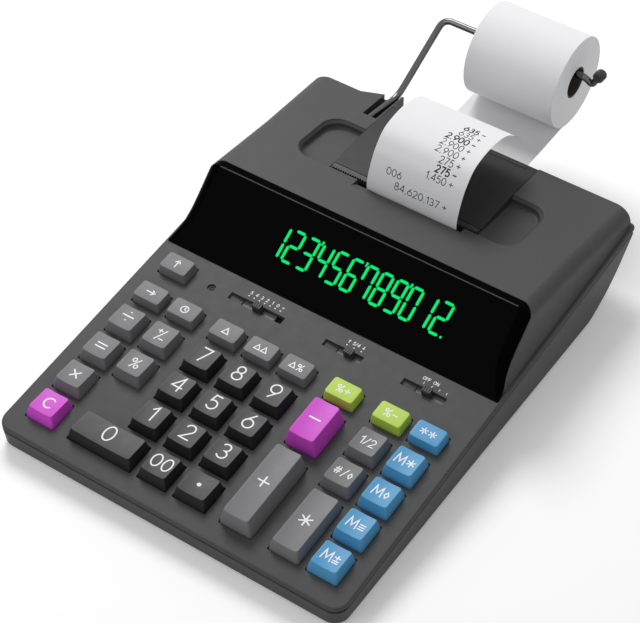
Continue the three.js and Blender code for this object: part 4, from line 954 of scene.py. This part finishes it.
def make_switch(label, knob_x):
    """The knob with three grip grooves, and under the deck the plate that closes the slot."""
    width, depth, height = SWITCH_KNOB
    under, reach = -WALL - GAP, width / 2 + PLATE_REACH
    knob = rounded_block("knob", knob_x - width / 2, knob_x + width / 2, SWITCH_ROW - depth / 2,
                         SWITCH_ROW + depth / 2, under, height, 0.5, 0.4, None)
    # The plate takes the lighter function-key grey instead of the case grey: painted light, so that it stays grey in
    # the shade under the slot.
    plate = rounded_block("plate", knob_x - reach, knob_x + reach, SWITCH_ROW - SWITCH_SLOT,
                          SWITCH_ROW + SWITCH_SLOT, under - PLATE_THICKNESS, under, 0.6, 0.2, DECK)
    finish_piece(plate, label + "_switch_plate", label + "_switch", "function", sharp=28)
    grips = [box("grip", x - 0.25, x + 0.25, SWITCH_ROW - depth, SWITCH_ROW + depth, height - 0.35, height + 1)
             for x in (knob_x - 1.35, knob_x, knob_x + 1.35)]
    combine(knob, grips, "DIFFERENCE")
    knob.data.transform(DECK)
    finish_piece(knob, label + "_switch_grip", label + "_switch", "knob", [label + "_switch_knob"], sharp=28)


for label, (_, _, knob_x) in SWITCHES.items():
    make_switch(label, knob_x)


SCALE_LEFT = -44.3
SCALE_PITCH = 3.4
SCALE_ROW = SWITCH_ROW + 7.4
SCALE_SIZE = 2.0


def scale_dot(x, behind):
    return [(x - 0.1, SWITCH_ROW + behind), (x + 0.1, SWITCH_ROW + behind)]


deck_marks, deck_dots = [], []
for i, figure in enumerate("543210+"):
    x = SCALE_LEFT + SCALE_PITCH * i
    deck_marks += text_strokes(figure, x + 0.3, SCALE_ROW, SCALE_SIZE)
    deck_dots.append(scale_dot(x, 4.9))
for text, x in (("^", 18.9), ("5/4", 23.3), ("_", 27.9)):
    deck_marks += text_strokes(text, x, SCALE_ROW, SCALE_SIZE)
    deck_dots.append(scale_dot(x, 4.7))
for text, x in (("OFF", 66.6), ("ON", 72.4)):
    deck_marks += text_strokes(text, x, SWITCH_ROW + 7.6, 1.9)
deck_marks += [[(x, SWITCH_ROW + 4.1), (x, SWITCH_ROW + 5.3)] for x in (66.6, 71.5, 76, 80.4)]
for strokes, half, name in ((deck_marks, 0.16, "deck_scales"), (deck_dots, 0.34, "deck_scale_dots")):
    marks = stroke_body(strokes, half, lambda x, y: 0, INK_THICKNESS, name, DECK)
    plain_finish(marks, name, "case", "print")

button = lathe("button", [
    (0, -WALL - GAP - 1.4), (2.2, -WALL - GAP - 1.4), (2.2, -WALL - GAP), (1.1, -WALL - GAP), (1.1, -1.3), (1.0, -1.08),
    (0.7, -1.0), (0.5, -1.12), (0, -1.2),
], 32, DECK @ Matrix.Translation((*RESET, 0)))
finish_piece(button, "reset_button_cap", "reset", "knob", ["reset_button"])


# Display figures

FIGURE_LOW = 18
FIGURE_HEIGHT = 17.65
FIGURE_WIDTH = 6.1
FIGURE_PITCH = 9.3
FIGURE_LEFT = -47.5
FIGURE_LEAN = 0.096
SEGMENT_HALF = 0.8
SEGMENT_GAP = 0.22
POINT_GAP = 1.7
POINT_RADIUS = 0.7
COMMAS_AFTER = (2, 5, 8)
COMMA = [(-0.6, -1.9), (0.1, -1.9), (0.75, 0.2), (0.3, 0.7), (-0.6, 0.7)]
SEGMENTS = dict(zip("0123456789", (
    "abcdef", "bc", "abged", "abgcd", "fgbc", "afgcd", "afgecd", "fabc", "abcdefg", "abcdfg",
)))
WINDOW_FRAME = DESIGN @ Matrix.Translation((0, WINDOW_FOOT, WINDOW_FOOT_Z)) @ Matrix.Rotation(WINDOW_SLOPE, 4, "X")


def segment_polygons(figure, left):
    """Seven-segment strokes with pointed ends, as outlines on the window."""
    low, top, right, half = FIGURE_LOW, FIGURE_LOW + FIGURE_HEIGHT, left + FIGURE_WIDTH, SEGMENT_HALF
    middle = low + FIGURE_HEIGHT / 2
    level = {"a": top, "g": middle, "d": low}
    upright = {
        "f": (left, middle, top), "b": (right, middle, top), "e": (left, low, middle), "c": (right, low, middle),
    }
    made = []
    for label in SEGMENTS[figure]:
        if label in level:
            x0, x1, y = left + SEGMENT_GAP, right - SEGMENT_GAP, level[label]
            made.append([(x0, y), (x0 + half, y - half), (x1 - half, y - half), (x1, y), (x1 - half, y + half),
                         (x0 + half, y + half)])
        else:
            x, y0, y1 = upright[label]
            y0, y1 = y0 + SEGMENT_GAP, y1 - SEGMENT_GAP
            made.append([(x, y0), (x + half, y0 + half), (x + half, y1 - half), (x, y1), (x - half, y1 - half),
                         (x - half, y0 + half)])
    return made


def flat_polygons(name, polygons, z0, z1, matrix):
    """Thin solid polygons with the figures' lean."""
    verts, faces = [], []
    for polygon in polygons:
        base, count = len(verts), len(polygon)
        verts += [(x + (y - FIGURE_LOW) * FIGURE_LEAN, y, z) for z in (z0, z1) for x, y in polygon]
        faces += [tuple(range(base, base + count))[::-1], tuple(range(base + count, base + 2 * count))]
        faces += wall_faces(base, count)
    return mesh_object(name, verts, faces, matrix)


polygons = []
for i, figure in enumerate("123456789012"):
    left = FIGURE_LEFT + FIGURE_PITCH * i
    polygons += segment_polygons(figure, left)
    if i in COMMAS_AFTER:
        x, y = left + FIGURE_WIDTH + POINT_GAP, FIGURE_LOW + FIGURE_HEIGHT + 0.4
        polygons.append([(x + dx, y + dy) for dx, dy in COMMA])
point_x = FIGURE_LEFT + FIGURE_PITCH * 11 + FIGURE_WIDTH + POINT_GAP
polygons.append([(point_x + POINT_RADIUS * x, FIGURE_LOW + POINT_RADIUS * y) for x, y in disc_ring(1, 12)])
figures = flat_polygons("figures", polygons, 0.02, 0.06, WINDOW_FRAME)
finish_piece(figures, "display_figures", "case", "segment", flat_faces=False)


# Paper

def smooth_path(points, steps):
    """Catmull-Rom curve through points of the side view."""
    made = []
    ends = [points[0], *points, points[-1]]
    for i in range(1, len(ends) - 2):
        p0, p1, p2, p3 = [Vector(p) for p in ends[i - 1:i + 3]]
        for k in range(steps):
            t = k / steps
            made.append(0.5 * (2 * p1 + (p2 - p0) * t + (2 * p0 - 5 * p1 + 4 * p2 - p3) * t * t
                               + (3 * p1 - p0 - 3 * p2 + p3) * t ** 3))
    made.append(Vector(points[-1]))
    return made


WEB_THICKNESS = 0.16
WEB_RADIUS = PLATEN_RADIUS + GAP + 0.2
SLOT_Y = PLATEN_Y - WEB_RADIUS
ROLL_FOOT = ROLL_Z - ROLL_RADIUS - GAP - 0.2
CURL_TOP = 91.2
CURL_CREST = 239.62
CURL_REAR = 273.32
CURL_TIP = 70.3
FEED_MIDDLE = (267.22, 44.5)
slot_top = roof_z(SLOT_Y)
feed_path = smooth_path([
    (ROLL_Y, ROLL_FOOT), ((ROLL_Y + FEED_MIDDLE[0]) / 2, (ROLL_FOOT + FEED_MIDDLE[1]) / 2), FEED_MIDDLE,
    (PLATEN_Y + WEB_RADIUS * 2.4, PLATEN_Z - WEB_RADIUS * 0.8), (PLATEN_Y + WEB_RADIUS * 0.5, PLATEN_Z - WEB_RADIUS),
], 10)
wrap_path = [Vector(p) for p in arc(PLATEN_Y, PLATEN_Z, WEB_RADIUS, WEB_RADIUS, -90, -180, 12)]
curl_path = smooth_path([
    (SLOT_Y, slot_top - RECESS_DEPTH),
    *[(SLOT_Y + (CURL_CREST - SLOT_Y) * a, slot_top + (CURL_TOP - slot_top) * u)
      for a, u in ((0, 0.13), (0.1, 0.46), (0.24, 0.72), (0.5, 0.95))],
    (CURL_CREST, CURL_TOP), ((CURL_CREST + CURL_REAR) / 2, CURL_TOP - (CURL_TOP - CURL_TIP) * 0.25),
    (CURL_REAR, CURL_TIP),
], 10)


def headings(path):
    """The curve's direction at each of its points."""
    return [(after - before).normalized() for before, after in zip([path[0], *path], [*path[1:], path[-1]])]


def ribbon(path, thickness):
    near, far = [], []
    for p, along in zip(path, headings(path)):
        across = Vector((along.y, -along.x)) * thickness / 2
        near.append(tuple(p + across))
        far.append(tuple(p - across))
    return near + far[::-1]


profile = ribbon(feed_path + wrap_path + curl_path, WEB_THICKNESS)
web_left = PAPER_CENTRE - PAPER_WIDTH / 2
web = loft("web", [[(web_left + PAPER_WIDTH * i / 8, y, z) for y, z in profile] for i in range(9)], matrix=DESIGN)
finish_piece(web, "paper_web_strip", "case", "paper", ["paper_web"], sharp=50, flat_faces=False)

# The print lies on the outer face of the strip, measured along it upwards from the slot.
lengths = [0, *accumulate((b - a).length for a, b in zip(curl_path, curl_path[1:]))]
curl_headings = headings(curl_path)


def on_strip(x, s):
    """A point of the strip's printed face and its outward direction, from a length along the strip."""
    i = next((k for k in range(1, len(lengths)) if lengths[k] >= s), len(lengths) - 1)
    t = (s - lengths[i - 1]) / (lengths[i] - lengths[i - 1])
    here = curl_path[i - 1].lerp(curl_path[i], t)
    along = curl_headings[i - 1].lerp(curl_headings[i], t).normalized()
    return Vector((x, *here)), Vector((0, -along.y, along.x))


def printed_rows(name, rows, half):
    strokes = []
    for text, right, s, size in rows:
        strokes += text_strokes(text, right - text_width(text, size) / 2, s, size)
    piece = stroke_body(strokes, half, lambda x, y: 0, 0.025, name, None, most=0.8, round_ends=False)
    for vertex in piece.data.vertices:
        x, s, h = vertex.co
        spot, outward = on_strip(x, s)
        vertex.co = spot + outward * (h + WEB_THICKNESS / 2)
    piece.data.transform(DESIGN)
    plain_finish(piece, name, "case", "ink")


PRINT_RIGHT = PAPER_CENTRE + 21
FIGURES_SIZE = 3.9
FOOT_LINE = 20.2
light_rows = [("1,450.+", 27.2), ("275.+", 37.6), ("2,900.+", 42.8), ("2,900.+", 48.0), ("635.+", 58.4)]
bold_rows = [("275.-", 32.4), ("2,900.-", 53.2), ("635.-", 63.6)]
printed_rows("printed_rows_light", [
    *[(text, PRINT_RIGHT, s, FIGURES_SIZE) for text, s in light_rows],
    ("006", PRINT_RIGHT - 30, FOOT_LINE, 4.0), ("84,620,137.+", PRINT_RIGHT, 13.6, 4.2),
], 0.22)
printed_rows("printed_rows_bold", [(text, PRINT_RIGHT, s, FIGURES_SIZE) for text, s in bold_rows], 0.36)
printed_rows("printed_dots", [(".", PRINT_RIGHT - 28 + 1.75 * i, FOOT_LINE, 4.0) for i in range(16)], 0.3)

# Roll, with the fine steps of its wound edge, and its core
TURNS = 14
half_width = PAPER_WIDTH / 2
first_turn = [
    (ROLL_HOLE + 0.9 + (ROLL_RADIUS - 0.25 - ROLL_HOLE - 0.9) * i / TURNS, half_width - 0.12 + 0.07 * sin(i * 2.4))
    for i in range(TURNS + 1)
]
roll_profile = [
    *[(radius, -x) for radius, x in first_turn],
    (ROLL_RADIUS - 0.05, -half_width + 0.1), (ROLL_RADIUS, -half_width + 0.35),
    (ROLL_RADIUS, half_width - 0.35), (ROLL_RADIUS - 0.05, half_width - 0.1),
    *first_turn[::-1],
]
ALONG_X = DESIGN @ Matrix.Translation((ROLL_CENTRE, ROLL_Y, ROLL_Z)) @ Matrix.Rotation(pi / 2, 4, "Y")
roll = lathe("roll", roll_profile, 96, ALONG_X)
finish_piece(roll, "paper_roll_wound", "roll", "paper", ["paper_roll"], sharp=40)
core = lathe("core", [
    (ROLL_HOLE, -half_width + 0.3), (ROLL_HOLE + 0.85, -half_width + 0.3), (ROLL_HOLE + 0.85, half_width - 0.3),
    (ROLL_HOLE, half_width - 0.3),
], 64, ALONG_X)
finish_piece(core, "paper_roll_core", "roll", "core", sharp=40)


# Wire holder and its cap

WIRE_TOP = ROLL_Z + ROLL_HOLE - GAP - WIRE_RADIUS
WIRE_CORNERS = [Vector(p) for p in (
    (WIRE_X, BORE_FRONT + GAP, WIRE_LEVEL), (WIRE_X, WIRE_BEND, WIRE_LEVEL), (-54.3, *WIRE_KNEE),
    (-50.2, ROLL_Y, WIRE_TOP), (43, ROLL_Y, WIRE_TOP), (47, ROLL_Y, WIRE_TOP - 3), (51.8, ROLL_Y, WIRE_TOP + 6.5),
)]


def bent_path(corners, radius, steps):
    path = [corners[0]]
    for before, here, after in zip(corners, corners[1:], corners[2:]):
        cut = min(radius, (here - before).length / 2.2, (after - here).length / 2.2)
        start = here + (before - here).normalized() * cut
        end = here + (after - here).normalized() * cut
        for i in range(steps + 1):
            t = i / steps
            path.append(start * (1 - t) ** 2 + here * 2 * t * (1 - t) + end * t * t)
    path.append(corners[-1])
    return path


def tube(name, path, radius, sides, matrix):
    rings = []
    side = None
    for p, along in zip(path, headings(path)):
        side = along.cross(Vector((1, 0, 0))) if side is None else side
        side = (side - along * side.dot(along)).normalized()
        other = along.cross(side)
        angles = [2 * pi * k / sides for k in range(sides)]
        rings.append([tuple(p + side * radius * cos(a) + other * radius * sin(a)) for a in angles])
    return loft(name, rings, matrix=matrix)


wire = tube("wire", bent_path(WIRE_CORNERS, WIRE_BEND_RADIUS, 10), WIRE_RADIUS, 24, DESIGN)
finish_piece(wire, "roll_holder_wire", "case", "chrome", ["roll_holder"], sharp=50, flat_faces=False)

CAP_BORE_DEPTH = 4.2
tail = (WIRE_CORNERS[-1] - WIRE_CORNERS[-2]).normalized()
cap_foot = WIRE_CORNERS[-1] + tail * (GAP - CAP_BORE_DEPTH)
cap_matrix = DESIGN @ Matrix.Translation(cap_foot) @ tail.to_track_quat("Z", "Y").to_matrix().to_4x4()
bore, outer = WIRE_RADIUS + GAP, 3.3
cap_profile = [
    (0, CAP_BORE_DEPTH), (bore, CAP_BORE_DEPTH), (bore, 0), (3.05, 0), (3.25, 0.15), (outer, 0.4), (outer, 4.0),
    *arc(1.1, 4.0, 2.2, 2.0, 0, 90, 5)[1:],
    (0, 6),
]
end_cap = lathe("end_cap", cap_profile, 32, cap_matrix)
finish_piece(end_cap, "holder_end_cap", "case", "knob", ["holder_cap"], sharp=40)


# Printer cover and tear bar

COVER_LEFT = WELL_LEFT + GAP
COVER_RIGHT = WELL_RIGHT - GAP
COVER_FRONT = 211.32
COVER_STEP = 215.62
COVER_TOP = ((215.92, 53.6), (276.62, 50.3))
COVER_BULGE = 8
COVER_THICKNESS = 2
LEDGE = 52.4
SKIRT_DEPTH = 6
SKIRT_BEND = 227.72
SKIRT_REAR_Z = 44.3
RIDGE = (272.62, 274.62, 49.3, 51.3)
TOOTH_PITCH = 1.6
TEAR_BAR = (212.72, 215.32)
TEAR_BAR_HEIGHTS = (52.7, 53.7)


def make_cover():
    (y0, z0), (y1, z1) = COVER_TOP
    top = [(y0 + (y1 - y0) * t, z0 + (z1 - z0) * t + COVER_BULGE * t * (1 - t)) for t in [i / 28 for i in range(29)]]
    body = prism_x("cover", [
        (COVER_FRONT, LEDGE - COVER_THICKNESS), (COVER_FRONT, LEDGE), (COVER_STEP, LEDGE), *top,
        *[(y, z - COVER_THICKNESS) for y, z in reversed(top)],
    ], COVER_LEFT, COVER_RIGHT)
    skirt = [(COVER_FRONT, LEDGE - SKIRT_DEPTH), (COVER_FRONT, LEDGE - 1), *[(y, z - 1) for y, z in top],
             (y1, SKIRT_REAR_Z), (SKIRT_BEND, LEDGE - SKIRT_DEPTH)]
    skirts = [prism_x("skirt", skirt, x, x + COVER_THICKNESS) for x in (COVER_LEFT, COVER_RIGHT - COVER_THICKNESS)]
    ridge = rounded_block("ridge", COVER_LEFT + 6, COVER_RIGHT - 6, *RIDGE, 0.6, 0.4, None)
    combine(body, [*skirts, ridge], "UNION")
    body.data.transform(DESIGN)
    edges = body.modifiers.new("edges", "BEVEL")
    edges.width = 0.3 * MM
    edges.segments = 2
    edges.limit_method = "ANGLE"
    edges.angle_limit = radians(50)
    return body


finish_piece(make_cover(), "printer_cover_shell", "case", "cover", ["printer_cover"], sharp=40)


def make_tear_bar():
    left, right = COVER_LEFT + GAP * 2, COVER_RIGHT - GAP * 2
    root, rear = TEAR_BAR
    count = round((right - left) / TOOTH_PITCH)
    pitch = (right - left) / count
    points = [(left, rear), (left, root)]
    for i in range(count):
        points += [(left + pitch * (i + 0.5), COVER_FRONT), (left + pitch * (i + 1), root)]
    return prism("tear", [*points, (right, rear)], *TEAR_BAR_HEIGHTS, DESIGN)


finish_piece(make_tear_bar(), "tear_bar_teeth", "case", "knob", ["tear_bar"], flat_faces=False)


# Feet

for y, name in zip(FOOT_STRIPS, ("front_foot_strip", "rear_foot_strip")):
    strip = rounded_block("strip", -FOOT_HALF, FOOT_HALF, y, y + FOOT_DEPTH, -FOOT_HEIGHT - FOOT_INLAY, 0, 4, 0.5,
                          DESIGN @ Matrix.Rotation(pi, 4, "Y"))
    ribs = [-FOOT_HALF + 3 * i for i in range(2, 49)]
    grooves = [box("groove", x - 0.4, x + 0.4, y - 1, y + FOOT_DEPTH + 1, -1, 0.35, DESIGN) for x in ribs]
    combine(strip, grooves, "DIFFERENCE")
    finish_piece(strip, name + "_ribbed", "case", "rubber", [name])


# Dome mat: the sheet lies on the board, and each dome goes flat under its key.

MAT_SIDES = (-99, 99, -6, 126)
MAT_TOP = -7.404
MAT_THICKNESS = 0.6
DOME_TOP = -WALL - GAP - KEY_FLANGE_THICKNESS - GAP
DOME_PROFILE = [(0, 0), (3.5, 0), (3.3, 0.12), (2.9, 0.5), (2.35, 0.86), (2.0, 0.95), (1.8, 1), (0, 1)]
sheet = rounded_block("mat", *MAT_SIDES, MAT_TOP - MAT_THICKNESS, MAT_TOP, KEY_CORNER, 0.15, DECK)
finish_piece(sheet, "dome_mat_sheet", "case", "mat", ["dome_mat"])
for key in KEYS:
    foot = Vector((key["x"] + key["width"] / 2, key["y"] + key["depth"] / 2, MAT_TOP))
    profile = [(radius, (DOME_TOP - MAT_TOP) * share) for radius, share in DOME_PROFILE]
    dome = lathe("dome", profile, 24, DECK @ Matrix.Translation(foot))
    finish_piece(dome, key["name"] + "_dome", "case", "mat", flat_faces=False)
    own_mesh(dome)


# The pieces inside keep their CAD solids, with their own finishes.

INSIDE = {
    "display_tube": "tube", "keyboard_board": "board", "printer_frame": "steel", "print_head": "steel",
    "platen_roller": "rubber", "platen_gear": "gear", "motor_pinion": "steel", "drive_motor": "steel",
}
for node, finish in INSIDE.items():
    paint(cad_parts[node], finish)


# Floor, light and camera

def seen_ray(tree):
    """1 for camera, glossy and transmission rays, else 0."""
    path = tree.nodes.new("ShaderNodeLightPath")
    total = path.outputs["Is Camera Ray"]
    for label in ("Is Glossy Ray", "Is Transmission Ray"):
        most = tree.nodes.new("ShaderNodeMath")
        most.operation = "MAXIMUM"
        tree.links.new(total, most.inputs[0])
        tree.links.new(path.outputs[label], most.inputs[1])
        total = most.outputs["Value"]
    return total


# Pale floor that keeps the shadow: a white board with a little light of its own for what looks at it
floor_finish, floor_tree, floor_shader = new_material("floor_white", {
    "Base Color": (0.95, 0.95, 0.95, 1), "Roughness": 0.9, "Specular IOR Level": 0, "Emission Color": (1, 1, 1, 1),
})
floor_glow = spread(floor_tree, seen_ray(floor_tree), 0, 0.2)
floor_tree.links.new(floor_glow, floor_shader.inputs["Emission Strength"])
floor = mesh_object("floor", [(-4, -4, 0), (4, -4, 0), (4, 4, 0), (-4, 4, 0)], [(0, 1, 2, 3)])
floor.data.materials.append(floor_finish)

world = bpy.data.worlds.new("studio")
SCENE.world = world
world.use_nodes = True
background = set_inputs(world.node_tree.nodes["Background"], {"Color": (1, 1, 1, 1)})
brightness = spread(world.node_tree, seen_ray(world.node_tree), 0.38, 1.0)
world.node_tree.links.new(brightness, background.inputs["Strength"])


def soft_lamp(name, place, size, watts):
    """A round lamp that looks at the object."""
    lamp = bpy.data.lights.new(name, "AREA")
    lamp.shape = "DISK"
    lamp.size = size
    lamp.energy = watts
    made = bpy.data.objects.new(name, lamp)
    SCENE.collection.objects.link(made)
    made.location = place
    made.rotation_euler = (Vector((0, 0, 0.03)) - Vector(place)).to_track_quat("-Z", "Y").to_euler()


soft_lamp("key_light", (-0.75, 0.7, 1.2), 0.7, 14.5)
soft_lamp("fill_light", (-0.5, -1.0, 0.9), 0.9, 3)

camera_data = bpy.data.cameras.new("camera")
camera_data.lens = 119.08
camera_data.sensor_width = 36
camera_data.clip_end = 20
camera = bpy.data.objects.new("camera", camera_data)
camera.location = (0.4308, -0.67706, 0.8430)
camera.rotation_euler = (radians(43.635), 0, radians(34.226))
SCENE.collection.objects.link(camera)
SCENE.camera = camera
SCENE.view_settings.view_transform = "Standard"
